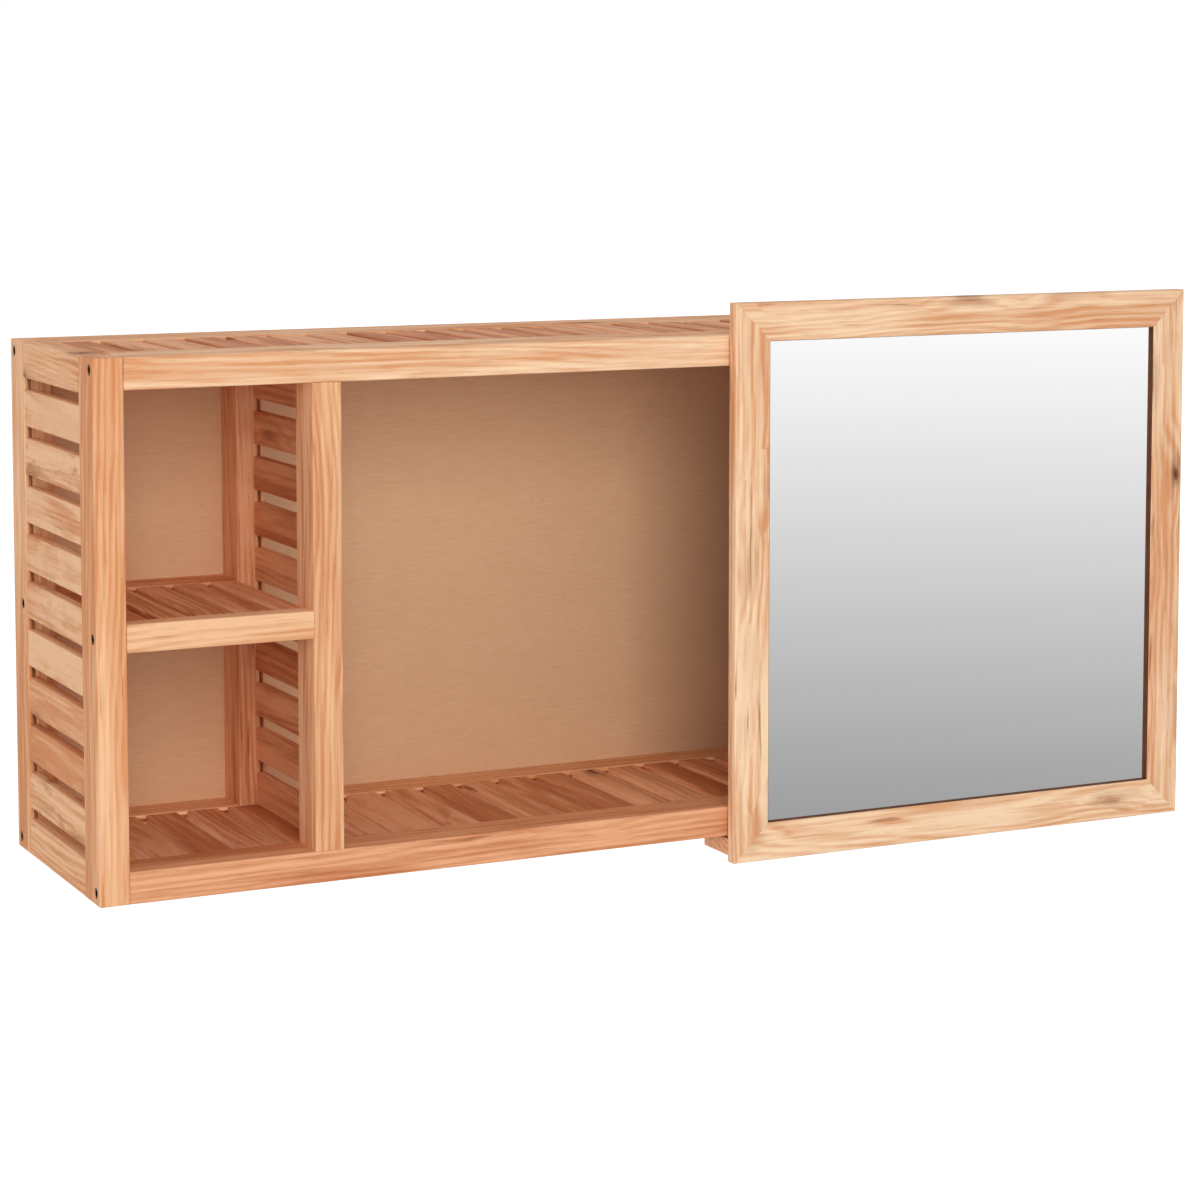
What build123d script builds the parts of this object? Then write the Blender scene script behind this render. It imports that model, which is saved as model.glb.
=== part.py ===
"""Wall cabinet in slatted solid wood, open at the front, with a framed mirror that slides along it.

Millimetres. X runs along the cabinet, Y back towards the wall, Z up. The origin lies on the wall,
half way between the round holes of the two hanging plates.
"""

from build123d import *
import os

# The cabinet as a whole, and how far its hanging holes lie below its top
cabinet_width = 948.0
cabinet_height = 400.0
cabinet_depth = 218.0
hanging_drop = 36.0

# Upright stock: corner posts and the posts of the divider
post_width = 23.0
post_depth = 36.0

# Rails that join the posts
rail_height = 24.0
side_rail_height = 28.0
top_rail_depth = 52.0
bottom_front_depth = 36.0
bottom_back_depth = 44.0
edge_radius = 1.2
end_chamfer = 0.6

# Slats, all tongued at both ends, and the grooves that they stand in
slat_thickness = 8.0
slat_setback = 0.5
slat_chamfer = 0.8
tongue_thickness = 3.0
tongue_length = 6.0
tongue_shoulder = 1.0
groove_play = 0.2
side_slat_count = 9
side_slat_height = 28.0
divider_slat_count = 10
divider_slat_height = 26.0
cross_slat_count = 27
cross_slat_gap = 8.5
shelf_slat_count = 5
shelf_slat_gap = 7.5

# Divider and the shelf that it helps to carry
left_bay_width = 144.0
shelf_underside = 185.0
shelf_thickness = 21.0
shelf_front_depth = 18.0
shelf_back_depth = 36.0
dowel_radius = 4.0
dowel_length = 26.0
dowel_play = 0.1

# Thin board that closes the back, held in grooves
panel_thickness = 4.0
panel_inset = 8.0
panel_groove_depth = 6.0
panel_play = 0.3

# Screws through the posts into the ends of the rails
bolt_head_radius = 4.0
bolt_head_height = 2.6
bolt_shank_radius = 2.5
bolt_length = 42.0
bolt_sunk = 0.5
bolt_from_face = 9.4
bolt_from_top = 9.0
bolt_play = 0.2
socket_radius = 2.2
socket_depth = 1.6

# Steel hanging plates, let into the backs of the rear posts
plate_width = 16.0
plate_above = 24.0
plate_below = 16.0
plate_thickness = 1.5
plate_play = 0.2
keyhole_radius = 4.5
keyhole_slot_radius = 2.2
keyhole_rise = 8.0
pocket_radius = 5.2
pocket_depth = 7.5

# Small countersunk screws
small_head_radius = 3.0
small_shank_radius = 1.6
small_screw_length = 14.0
screw_tip = 2.0
cross_width = 0.9
cross_span = 3.4
cross_depth = 0.9

# Mirror: how far it stands past the cabinet, and its mitred frame
mirror_width = 428.0
mirror_over_top = 26.0
mirror_under_bottom = 20.0
mirror_end_inset = 5.0
mirror_gap = 3.0
frame_face = 30.5
frame_thickness = 11.0
rebate_width = 6.0
glass_thickness = 3.0
backing_thickness = 4.0
glass_play = 0.4
frame_edge_radius = 1.5

# Clips that hold the board behind the glass
clip_width = 12.0
clip_length = 22.0
clip_thickness = 0.8
clip_on_board = 9.0
side_clip_count = 3
top_clip_count = 2
clip_screw_head_radius = 2.4
clip_screw_head_height = 0.9
clip_screw_shank_radius = 1.2
clip_screw_length = 6.5

# Hangers that carry the mirror from a track in the top front rail
track_from_front = 24.0
track_width = 5.0
track_depth = 9.0
hanger_inboard = 60.0
hanger_width = 36.0
hanger_steel = 1.5
hanger_leg = 21.0
hanger_lift = 1.2
hanger_lip_short = 2.2
glide_length = 30.0
glide_side_play = 0.3
glide_rest_play = 0.3
glide_flange = 9.0
stop_radius = 2.2
stop_sunk = 3.0

# Wooden runner below, with two pins that follow a groove under the bottom front rail
runner_depth = 40.0
runner_height = 13.0
runner_gap = 2.0
pin_radius = 3.0
pin_play = 0.3
pin_flange_radius = 5.0
pin_flange_height = 1.2
pin_seat_depth = 8.0
guide_depth = 7.0
guide_clear = 2.0
runner_screw_count = 3
runner_screw_inboard = 40.0
runner_screw_sunk = 22.0
runner_screw_length = 26.0
frame_screw_depth = 8.0
runner_bore_radius = 4.0

# Places that follow from the sizes above
top_z = hanging_drop
bottom_z = top_z - cabinet_height
front_y = -cabinet_depth
outer_x = cabinet_width / 2
inner_x = outer_x - post_width
post_mid_x = outer_x - post_width / 2
front_post_y = front_y + post_depth / 2
back_post_y = -post_depth / 2
bay_floor_z = bottom_z + rail_height
bay_ceiling_z = top_z - rail_height
tongue_mid = slat_setback + slat_thickness / 2
groove_width = tongue_thickness + groove_play
groove_depth = tongue_length + groove_play
panel_front_y = -panel_inset - panel_thickness
divider_x = -inner_x + left_bay_width + post_width / 2
divider_back_y = panel_front_y - post_depth / 2
shelf_top_z = bottom_z + shelf_underside + shelf_thickness
shelf_mid_z = shelf_top_z - shelf_thickness / 2
bolt_top_z = top_z - bolt_from_top
bolt_bottom_z = bottom_z + bolt_from_top
track_y = front_y + track_from_front
mirror_mid_x = outer_x - mirror_end_inset - mirror_width / 2
mirror_back_y = front_y - mirror_gap
mirror_front_y = mirror_back_y - frame_thickness
mirror_top_z = top_z + mirror_over_top
mirror_bottom_z = bottom_z - mirror_under_bottom
mirror_height = mirror_top_z - mirror_bottom_z
mirror_mid_z = (mirror_top_z + mirror_bottom_z) / 2
rebate_depth = glass_thickness + backing_thickness
hanger_offset = mirror_width / 2 - hanger_inboard
stop_x = mirror_mid_x + hanger_offset + hanger_width / 2 + glide_rest_play + stop_radius

os.makedirs("parts", exist_ok=True)


def save(part, label):
    """Label a finished piece and write its STEP file."""
    part.label = label
    export_step(part, f"parts/{label}.step")


def outward(x, y, z, direction):
    """A plane at a point, facing the way that a screw's head looks."""
    return Plane(origin=(x, y, z), z_dir=direction)


def make_slat(length, width):
    """One slat lying flat: length along Y, width along X, a tongue at each end."""
    with BuildPart() as slat:
        Box(width, length, slat_thickness)
        chamfer(slat.edges().filter_by(Axis.Y), slat_chamfer)
        Box(width - 2 * tongue_shoulder, length + 2 * tongue_length, tongue_thickness)
    return slat.part


def spread(first, last, count):
    """Evenly spaced places from the first to the last."""
    return [first + (last - first) * i / (count - 1) for i in range(count)]


def ease_ends(post):
    """Take the sharpness off the outer arrises at both ends of an upright post."""
    ends = post.edges().group_by(Axis.Z)
    for end in (ends[0], ends[-1]):
        outer = [edge for edge in end if edge.length > groove_depth or edge.geom_type == GeomType.CIRCLE]
        chamfer(outer, end_chamfer)


def make_bolt():
    """Flat-headed bolt with a hexagon socket, head upwards, top of the head at the origin."""
    with BuildPart() as bolt:
        with BuildSketch(Plane.XZ):
            with BuildLine():
                Polyline(
                    (0, 0),
                    (bolt_head_radius, 0),
                    (bolt_head_radius, -bolt_head_height),
                    (bolt_shank_radius, -bolt_head_height),
                    (bolt_shank_radius, screw_tip - bolt_length),
                    (0, -bolt_length),
                    close=True,
                )
            make_face()
        revolve(axis=Axis.Z)
        with BuildSketch(Plane.XY):
            RegularPolygon(socket_radius, 6)
        extrude(amount=-socket_depth, mode=Mode.SUBTRACT)
    return bolt.part


def make_countersunk(length):
    """Small countersunk screw with a cross slot, head upwards, face at the origin."""
    with BuildPart() as screw:
        with BuildSketch(Plane.XZ):
            with BuildLine():
                Polyline(
                    (0, 0),
                    (small_head_radius, 0),
                    (small_shank_radius, small_shank_radius - small_head_radius),
                    (small_shank_radius, screw_tip - length),
                    (0, -length),
                    close=True,
                )
            make_face()
        revolve(axis=Axis.Z)
        with BuildSketch(Plane.XY):
            Rectangle(cross_span, cross_width)
            Rectangle(cross_width, cross_span)
        extrude(amount=-cross_depth, mode=Mode.SUBTRACT)
    return screw.part


def cut_screw_seat(length):
    """Countersunk hole that takes one of the small screws, at the current location."""
    CounterSinkHole(
        radius=small_shank_radius + bolt_play,
        counter_sink_radius=small_head_radius + bolt_play,
        depth=length + bolt_play,
    )


# Corner posts. Each has a groove for the side slats, and the rear ones a groove for the back board.
# The left pair is cut, and the right pair mirrors it.
groove_x = -outer_x + tongue_mid
front_groove_y = front_y + post_depth - groove_depth / 2
back_groove_y = -post_depth + groove_depth / 2
shelf_back_bolt_y = (panel_front_y - post_depth) / 2

with BuildPart() as left_front_post:
    with BuildSketch(Plane.XY.offset(bottom_z)):
        with Locations((-post_mid_x, front_post_y)):
            RectangleRounded(post_width, post_depth, edge_radius)
        with Locations((groove_x, front_groove_y)):
            Rectangle(groove_width, groove_depth, mode=Mode.SUBTRACT)
    extrude(amount=cabinet_height)
    ease_ends(left_front_post)
    bolt_y = front_y + bolt_from_face
    with Locations(*[outward(-outer_x, bolt_y, z, (-1, 0, 0)) for z in (bolt_bottom_z, bolt_top_z)]):
        CounterBoreHole(bolt_shank_radius + bolt_play, bolt_head_radius + bolt_play,
                        bolt_head_height + bolt_sunk, post_width)

with BuildPart() as left_back_post:
    with BuildSketch(Plane.XY.offset(bottom_z)):
        with Locations((-post_mid_x, back_post_y)):
            RectangleRounded(post_width, post_depth, edge_radius)
        with Locations((groove_x, back_groove_y)):
            Rectangle(groove_width, groove_depth, mode=Mode.SUBTRACT)
        with Locations((-inner_x - panel_groove_depth / 2, panel_front_y + panel_thickness / 2)):
            Rectangle(panel_groove_depth, panel_thickness + panel_play, mode=Mode.SUBTRACT)
    extrude(amount=cabinet_height)
    ease_ends(left_back_post)
    with Locations(
        *[outward(-outer_x, -bolt_from_face, z, (-1, 0, 0)) for z in (bolt_bottom_z, bolt_top_z)]
    ):
        CounterBoreHole(bolt_shank_radius + bolt_play, bolt_head_radius + bolt_play,
                        bolt_head_height + bolt_sunk, post_width)
    with BuildSketch(Plane.XZ):
        with Locations((-post_mid_x, (plate_above - plate_below) / 2)):
            Rectangle(plate_width + plate_play, plate_above + plate_below + plate_play)
    extrude(amount=plate_thickness, mode=Mode.SUBTRACT)
    with BuildSketch(Plane.XZ):
        with Locations((-post_mid_x, keyhole_rise / 2)):
            SlotCenterToCenter(keyhole_rise, 2 * pocket_radius, rotation=90)
    extrude(amount=pocket_depth, mode=Mode.SUBTRACT)
    for z in (plate_above - pocket_radius, pocket_radius - plate_below):
        with Locations(outward(-post_mid_x, -plate_thickness, z, (0, 1, 0))):
            Hole(small_shank_radius + bolt_play, small_screw_length)

with BuildPart() as right_front_post:
    mirror(left_front_post.part, about=Plane.YZ)

with BuildPart() as right_back_post:
    mirror(left_back_post.part, about=Plane.YZ)

# Only the left posts also take the screws of the shelf
with BuildPart() as left_front_post_bored:
    add(left_front_post.part)
    with Locations(outward(-outer_x, bolt_y, shelf_mid_z, (-1, 0, 0))):
        CounterBoreHole(bolt_shank_radius + bolt_play, bolt_head_radius + bolt_play,
                        bolt_head_height + bolt_sunk, post_width)

with BuildPart() as left_back_post_bored:
    add(left_back_post.part)
    with Locations(outward(-outer_x, shelf_back_bolt_y, shelf_mid_z, (-1, 0, 0))):
        CounterBoreHole(bolt_shank_radius + bolt_play, bolt_head_radius + bolt_play,
                        bolt_head_height + bolt_sunk, post_width)

save(left_front_post_bored.part, "left_front_post")
save(left_back_post_bored.part, "left_back_post")
save(right_front_post.part, "right_front_post")
save(right_back_post.part, "right_back_post")

# Short rails that close each side at the top and the bottom, tongued into the posts
side_clear = cabinet_depth - 2 * post_depth
side_mid_y = -cabinet_depth / 2

with BuildPart() as side_rail:
    with BuildSketch(Plane.XZ.offset(-side_clear / 2)):
        RectangleRounded(post_width, side_rail_height, edge_radius)
    extrude(amount=side_clear)
    with Locations((tongue_mid - post_width / 2, 0, 0)):
        Box(tongue_thickness, side_clear + 2 * tongue_length, side_rail_height - 2 * edge_radius)

for side, turn in (("left", 0), ("right", 180)):
    sign = -1 if side == "left" else 1
    for level, z in (("top", top_z - side_rail_height / 2), ("bottom", bottom_z + side_rail_height / 2)):
        with BuildPart() as placed_rail:
            with Locations(Location((sign * post_mid_x, side_mid_y, z), (0, 0, turn))):
                add(side_rail.part)
        save(placed_rail.part, f"{side}_{level}_side_rail")

# Slats of the two sides, standing on edge one above the other between the side rails
side_slat = make_slat(side_clear, side_slat_height)
side_gap = (cabinet_height - 2 * side_rail_height - side_slat_count * side_slat_height) / (side_slat_count + 1)
lowest_side_slat = bottom_z + side_rail_height + side_gap + side_slat_height / 2
highest_side_slat = top_z - side_rail_height - side_gap - side_slat_height / 2

for side, sign in (("left", -1), ("right", 1)):
    x = sign * (outer_x - tongue_mid)
    with BuildPart() as side_slats:
        with Locations(
            *[
                Location((x, side_mid_y, z), (0, 90, 0))
                for z in spread(lowest_side_slat, highest_side_slat, side_slat_count)
            ]
        ):
            add(side_slat)
    save(side_slats.part, f"{side}_side_slats")

# Long rails of the top. The front one carries the track of the mirror's hangers.
long_rail = 2 * inner_x
top_groove_z = top_z - tongue_mid
top_rail_z = top_z - rail_height / 2
bolt_bore = bolt_length + bolt_sunk - post_width + bolt_play

with BuildPart() as top_front_rail:
    with BuildSketch(Plane.YZ.offset(-inner_x)):
        with Locations((front_y + top_rail_depth / 2, top_rail_z)):
            RectangleRounded(top_rail_depth, rail_height, edge_radius)
        with Locations((front_y + top_rail_depth - groove_depth / 2, top_groove_z)):
            Rectangle(groove_depth, groove_width, mode=Mode.SUBTRACT)
        with Locations((track_y, top_z - track_depth / 2)):
            Rectangle(track_width, track_depth, mode=Mode.SUBTRACT)
    extrude(amount=long_rail)
    for sign in (-1, 1):
        with Locations(outward(sign * inner_x, front_y + bolt_from_face, bolt_top_z, (sign, 0, 0))):
            Hole(bolt_shank_radius + bolt_play, bolt_bore)
    with Locations(outward(divider_x, front_post_y, bay_ceiling_z, (0, 0, -1))):
        Hole(dowel_radius + dowel_play, dowel_length / 2)
    with Locations(*[outward(sign * stop_x, track_y, top_z - track_depth, (0, 0, 1)) for sign in (-1, 1)]):
        Hole(stop_radius + dowel_play, stop_sunk)

with BuildPart() as top_back_rail:
    with BuildSketch(Plane.YZ.offset(-inner_x)):
        with Locations((-top_rail_depth / 2, top_rail_z)):
            RectangleRounded(top_rail_depth, rail_height, edge_radius)
        with Locations((groove_depth / 2 - top_rail_depth, top_groove_z)):
            Rectangle(groove_depth, groove_width, mode=Mode.SUBTRACT)
        with Locations((panel_front_y + panel_thickness / 2, bay_ceiling_z + panel_groove_depth / 2)):
            Rectangle(panel_thickness + panel_play, panel_groove_depth, mode=Mode.SUBTRACT)
    extrude(amount=long_rail)
    for sign in (-1, 1):
        with Locations(outward(sign * inner_x, -bolt_from_face, bolt_top_z, (sign, 0, 0))):
            Hole(bolt_shank_radius + bolt_play, bolt_bore)
    with Locations(outward(divider_x, divider_back_y, bay_ceiling_z, (0, 0, -1))):
        Hole(dowel_radius + dowel_play, dowel_length / 2)

save(top_front_rail.part, "top_front_rail")
save(top_back_rail.part, "top_back_rail")

# Long rails of the floor. The front one has a guide groove on its underside.
floor_groove_z = bay_floor_z - tongue_mid
bottom_rail_z = bottom_z + rail_height / 2
guide_y = front_y + bottom_front_depth / 2

with BuildPart() as bottom_front_rail:
    with BuildSketch(Plane.YZ.offset(-inner_x)):
        with Locations((guide_y, bottom_rail_z)):
            RectangleRounded(bottom_front_depth, rail_height, edge_radius)
        with Locations((front_y + bottom_front_depth - groove_depth / 2, floor_groove_z)):
            Rectangle(groove_depth, groove_width, mode=Mode.SUBTRACT)
        with Locations((guide_y, bottom_z + guide_depth / 2)):
            Rectangle(2 * (pin_radius + pin_play), guide_depth, mode=Mode.SUBTRACT)
    extrude(amount=long_rail)
    for sign in (-1, 1):
        with Locations(outward(sign * inner_x, front_y + bolt_from_face, bolt_bottom_z, (sign, 0, 0))):
            Hole(bolt_shank_radius + bolt_play, bolt_bore)
    with Locations(outward(divider_x, front_post_y, bay_floor_z, (0, 0, 1))):
        Hole(dowel_radius + dowel_play, dowel_length / 2)

with BuildPart() as bottom_back_rail:
    with BuildSketch(Plane.YZ.offset(-inner_x)):
        with Locations((-bottom_back_depth / 2, bottom_rail_z)):
            RectangleRounded(bottom_back_depth, rail_height, edge_radius)
        with Locations((groove_depth / 2 - bottom_back_depth, floor_groove_z)):
            Rectangle(groove_depth, groove_width, mode=Mode.SUBTRACT)
        with Locations((panel_front_y + panel_thickness / 2, bay_floor_z - panel_groove_depth / 2)):
            Rectangle(panel_thickness + panel_play, panel_groove_depth, mode=Mode.SUBTRACT)
    extrude(amount=long_rail)
    for sign in (-1, 1):
        with Locations(outward(sign * inner_x, -bolt_from_face, bolt_bottom_z, (sign, 0, 0))):
            Hole(bolt_shank_radius + bolt_play, bolt_bore)
    with Locations(outward(divider_x, divider_back_y, bay_floor_z, (0, 0, 1))):
        Hole(dowel_radius + dowel_play, dowel_length / 2)

save(bottom_front_rail.part, "bottom_front_rail")
save(bottom_back_rail.part, "bottom_back_rail")

# Cross slats of the top and the floor, lying side by side between the long rails
cross_slat_width = (long_rail - (cross_slat_count - 1) * cross_slat_gap) / cross_slat_count
cross_slat_places = spread(cross_slat_width / 2 - inner_x, inner_x - cross_slat_width / 2, cross_slat_count)


def cross_slats(front_edge, back_edge, groove_z, label):
    """A row of slats from one long rail to the other."""
    slat = make_slat(back_edge - front_edge, cross_slat_width)
    with BuildPart() as slats:
        with Locations(*[(x, (front_edge + back_edge) / 2, groove_z) for x in cross_slat_places]):
            add(slat)
    save(slats.part, label)


cross_slats(front_y + top_rail_depth, -top_rail_depth, top_groove_z, "top_slats")
cross_slats(front_y + bottom_front_depth, -bottom_back_depth, floor_groove_z, "bottom_slats")

# Divider: two posts between the floor and the top, with slats flush to its right-hand face
divider_height = bay_ceiling_z - bay_floor_z
divider_groove_x = divider_x + post_width / 2 - tongue_mid
divider_clear_front = front_y + post_depth
divider_clear_back = panel_front_y - post_depth


def divider_post(mid_y, groove_y, bolt_y, label):
    """One post of the divider, grooved for the slats, bored for dowels and for a shelf screw."""
    with BuildPart() as post:
        with BuildSketch(Plane.XY.offset(bay_floor_z)):
            with Locations((divider_x, mid_y)):
                RectangleRounded(post_width, post_depth, edge_radius)
            with Locations((divider_groove_x, groove_y)):
                Rectangle(groove_width, groove_depth, mode=Mode.SUBTRACT)
        extrude(amount=divider_height)
        for z, up in ((bay_floor_z, -1), (bay_ceiling_z, 1)):
            with Locations(outward(divider_x, mid_y, z, (0, 0, up))):
                Hole(dowel_radius + dowel_play, dowel_length / 2)
        with Locations(outward(divider_x + post_width / 2, bolt_y, shelf_mid_z, (1, 0, 0))):
            CounterBoreHole(bolt_shank_radius + bolt_play, bolt_head_radius + bolt_play,
                            bolt_head_height + bolt_sunk, post_width)
    save(post.part, label)


divider_post(front_post_y, divider_clear_front - groove_depth / 2, bolt_y, "divider_front_post")
divider_post(divider_back_y, divider_clear_back + groove_depth / 2, shelf_back_bolt_y, "divider_back_post")

divider_slat = make_slat(divider_clear_back - divider_clear_front, divider_slat_height)
with BuildPart() as divider_slats:
    with Locations(
        *[
            Location((divider_groove_x, (divider_clear_front + divider_clear_back) / 2, z), (0, 90, 0))
            for z in spread(
                bay_floor_z + divider_slat_height / 2,
                bay_ceiling_z - divider_slat_height / 2,
                divider_slat_count,
            )
        ]
    ):
        add(divider_slat)
save(divider_slats.part, "divider_slats")

with BuildPart() as divider_dowels:
    with Locations(
        *[(divider_x, y, z) for y in (front_post_y, divider_back_y) for z in (bay_floor_z, bay_ceiling_z)]
    ):
        Cylinder(dowel_radius, dowel_length - 2 * dowel_play)
    chamfer(divider_dowels.edges().filter_by(GeomType.CIRCLE), dowel_radius / 4)
save(divider_dowels.part, "divider_dowels")

# Shelf of the left bay: a front and a back rail with slats between them
shelf_left_x = -inner_x
shelf_right_x = -inner_x + left_bay_width
shelf_mid_x = (shelf_left_x + shelf_right_x) / 2
shelf_groove_z = shelf_top_z - tongue_mid


def shelf_rail(mid_y, depth, groove_y, end_bolt_y, label):
    """One rail of the shelf, grooved for its slats and bored at both ends."""
    with BuildPart() as rail:
        with BuildSketch(Plane.YZ.offset(shelf_left_x)):
            with Locations((mid_y, shelf_mid_z)):
                RectangleRounded(depth, shelf_thickness, edge_radius)
            with Locations((groove_y, shelf_groove_z)):
                Rectangle(groove_depth, groove_width, mode=Mode.SUBTRACT)
        extrude(amount=left_bay_width)
        for x, out in ((shelf_left_x, -1), (shelf_right_x, 1)):
            with Locations(outward(x, end_bolt_y, shelf_mid_z, (out, 0, 0))):
                Hole(bolt_shank_radius + bolt_play, bolt_bore)
    save(rail.part, label)


shelf_front_edge = front_y + shelf_front_depth
shelf_back_edge = panel_front_y - shelf_back_depth
shelf_rail(front_y + shelf_front_depth / 2, shelf_front_depth, shelf_front_edge - groove_depth / 2,
           bolt_y, "shelf_front_rail")
shelf_rail(panel_front_y - shelf_back_depth / 2, shelf_back_depth, shelf_back_edge + groove_depth / 2,
           shelf_back_bolt_y, "shelf_back_rail")

shelf_slat_width = (left_bay_width - (shelf_slat_count - 1) * shelf_slat_gap) / shelf_slat_count
shelf_slat = make_slat(shelf_back_edge - shelf_front_edge, shelf_slat_width)
with BuildPart() as shelf_slats:
    with Locations(
        *[
            (x, (shelf_front_edge + shelf_back_edge) / 2, shelf_groove_z)
            for x in spread(
                shelf_left_x + shelf_slat_width / 2, shelf_right_x - shelf_slat_width / 2, shelf_slat_count
            )
        ]
    ):
        add(shelf_slat)
save(shelf_slats.part, "shelf_slats")

# Back board, its edges in the grooves of the rear posts and the back rails
panel_tuck = panel_groove_depth - panel_play
with BuildPart() as back_panel:
    with BuildSketch(Plane.XZ.offset(panel_inset)):
        with Locations((0, (bay_floor_z + bay_ceiling_z) / 2)):
            Rectangle(long_rail + 2 * panel_tuck, divider_height + 2 * panel_tuck)
    extrude(amount=panel_thickness)
save(back_panel.part, "back_panel")

# Bolts that draw the rails against the posts, and those of the shelf
bolt = make_bolt()
head_x = outer_x - bolt_sunk
with BuildPart() as frame_bolts:
    with Locations(
        *[
            outward(sign * head_x, y, z, (sign, 0, 0))
            for sign in (-1, 1)
            for y in (front_y + bolt_from_face, -bolt_from_face)
            for z in (bolt_bottom_z, bolt_top_z)
        ]
    ):
        add(bolt)
save(frame_bolts.part, "frame_bolts")

divider_head_x = divider_x + post_width / 2 - bolt_sunk
with BuildPart() as shelf_bolts:
    with Locations(
        outward(-head_x, bolt_y, shelf_mid_z, (-1, 0, 0)),
        outward(-head_x, shelf_back_bolt_y, shelf_mid_z, (-1, 0, 0)),
        outward(divider_head_x, bolt_y, shelf_mid_z, (1, 0, 0)),
        outward(divider_head_x, shelf_back_bolt_y, shelf_mid_z, (1, 0, 0)),
    ):
        add(bolt)
save(shelf_bolts.part, "shelf_bolts")

# Keyhole plates on the rear posts. A wall screw's head enters the round hole and slides up the slot.
plate_screw = make_countersunk(small_screw_length)
plate_screw_places = [
    outward(sign * post_mid_x, 0, z, (0, 1, 0))
    for sign in (-1, 1)
    for z in (plate_above - pocket_radius, pocket_radius - plate_below)
]
with BuildPart() as hanging_plates:
    with BuildSketch(Plane.XZ):
        with Locations(*[(sign * post_mid_x, (plate_above - plate_below) / 2) for sign in (-1, 1)]):
            RectangleRounded(plate_width, plate_above + plate_below, edge_radius)
        with Locations((-post_mid_x, 0), (post_mid_x, 0)):
            Circle(keyhole_radius, mode=Mode.SUBTRACT)
        with Locations(*[(sign * post_mid_x, keyhole_rise / 2) for sign in (-1, 1)]):
            SlotCenterToCenter(keyhole_rise, 2 * keyhole_slot_radius, rotation=90, mode=Mode.SUBTRACT)
    extrude(amount=plate_thickness)
    with Locations(*plate_screw_places):
        cut_screw_seat(plate_thickness)
save(hanging_plates.part, "hanging_plates")

with BuildPart() as plate_screws:
    with Locations(*plate_screw_places):
        add(plate_screw)
save(plate_screws.part, "plate_screws")

# Mirror frame: four mitred lengths, rebated behind for the glass and its board
opening_width = mirror_width - 2 * frame_face
opening_height = mirror_height - 2 * frame_face
rebate_size = (opening_width + 2 * rebate_width, opening_height + 2 * rebate_width)
left_x = mirror_mid_x - mirror_width / 2
right_x = mirror_mid_x + mirror_width / 2
hanger_places = (mirror_mid_x - hanger_offset, mirror_mid_x + hanger_offset)
hanger_screw_z = top_z + hanger_lift + hanger_leg - 2 * small_head_radius
hanger_screw_shift = hanger_width / 4
runner_screw_places = spread(left_x + runner_screw_inboard, right_x - runner_screw_inboard, runner_screw_count)
runner_mid_z = bottom_z - runner_gap - runner_height / 2
runner_back_y = mirror_back_y + runner_depth
clip_rows = spread(
    mirror_bottom_z + frame_face + clip_length, mirror_top_z - frame_face - clip_length, side_clip_count
)
clip_columns = spread(
    mirror_mid_x - opening_width / 4, mirror_mid_x + opening_width / 4, top_clip_count
)
clip_in = rebate_width - clip_on_board + clip_length / 2
clip_screw_in = clip_in + clip_length / 4
clip_seats = {
    "left": [(left_x + frame_face, z, -1, 0) for z in clip_rows],
    "right": [(right_x - frame_face, z, 1, 0) for z in clip_rows],
    "top": [(x, mirror_top_z - frame_face, 0, 1) for x in clip_columns],
}
clip_places = [place for side in clip_seats.values() for place in side]

# What is screwed to the back of each length: place and shank of every screw
screws_in_length = {
    side: [(x + out_x * clip_screw_in, z + out_z * clip_screw_in, clip_screw_shank_radius)
           for x, z, out_x, out_z in places]
    for side, places in clip_seats.items()
}
screws_in_length["bottom"] = [(x, runner_mid_z, small_shank_radius) for x in runner_screw_places]
screws_in_length["top"] += [
    (x + shift, hanger_screw_z, small_shank_radius)
    for x in hanger_places
    for shift in (-hanger_screw_shift, hanger_screw_shift)
]


def frame_length(corners, side):
    """One mitred length of the frame from its four corners, seen from the front."""
    with BuildPart() as length:
        with BuildSketch(Plane.XZ.offset(-mirror_back_y)):
            with BuildLine():
                Polyline(*corners, close=True)
            make_face()
        extrude(amount=frame_thickness)
        long_axis = Axis.X if side in ("bottom", "top") else Axis.Z
        front = length.faces().sort_by(Axis.Y)[0].edges().filter_by(long_axis).sort_by(Edge.length)
        fillet(front[-1], frame_edge_radius)
        front = length.faces().sort_by(Axis.Y)[0].edges().filter_by(long_axis).sort_by(Edge.length)
        chamfer(front[0], end_chamfer)
        with Locations((mirror_mid_x, mirror_back_y - rebate_depth / 2, mirror_mid_z)):
            Box(rebate_size[0], rebate_depth, rebate_size[1], mode=Mode.SUBTRACT)
        for x, z, shank in screws_in_length[side]:
            with Locations(outward(x, mirror_back_y, z, (0, 1, 0))):
                Hole(shank + bolt_play, frame_screw_depth)
    save(length.part, f"mirror_frame_{side}")


outer_corners = [
    (left_x, mirror_bottom_z), (right_x, mirror_bottom_z), (right_x, mirror_top_z), (left_x, mirror_top_z)
]
inner_corners = [
    (left_x + frame_face, mirror_bottom_z + frame_face), (right_x - frame_face, mirror_bottom_z + frame_face),
    (right_x - frame_face, mirror_top_z - frame_face), (left_x + frame_face, mirror_top_z - frame_face),
]
for i, side in enumerate(("bottom", "right", "top", "left")):
    j = (i + 1) % 4
    frame_length((outer_corners[i], outer_corners[j], inner_corners[j], inner_corners[i]), side)

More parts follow.
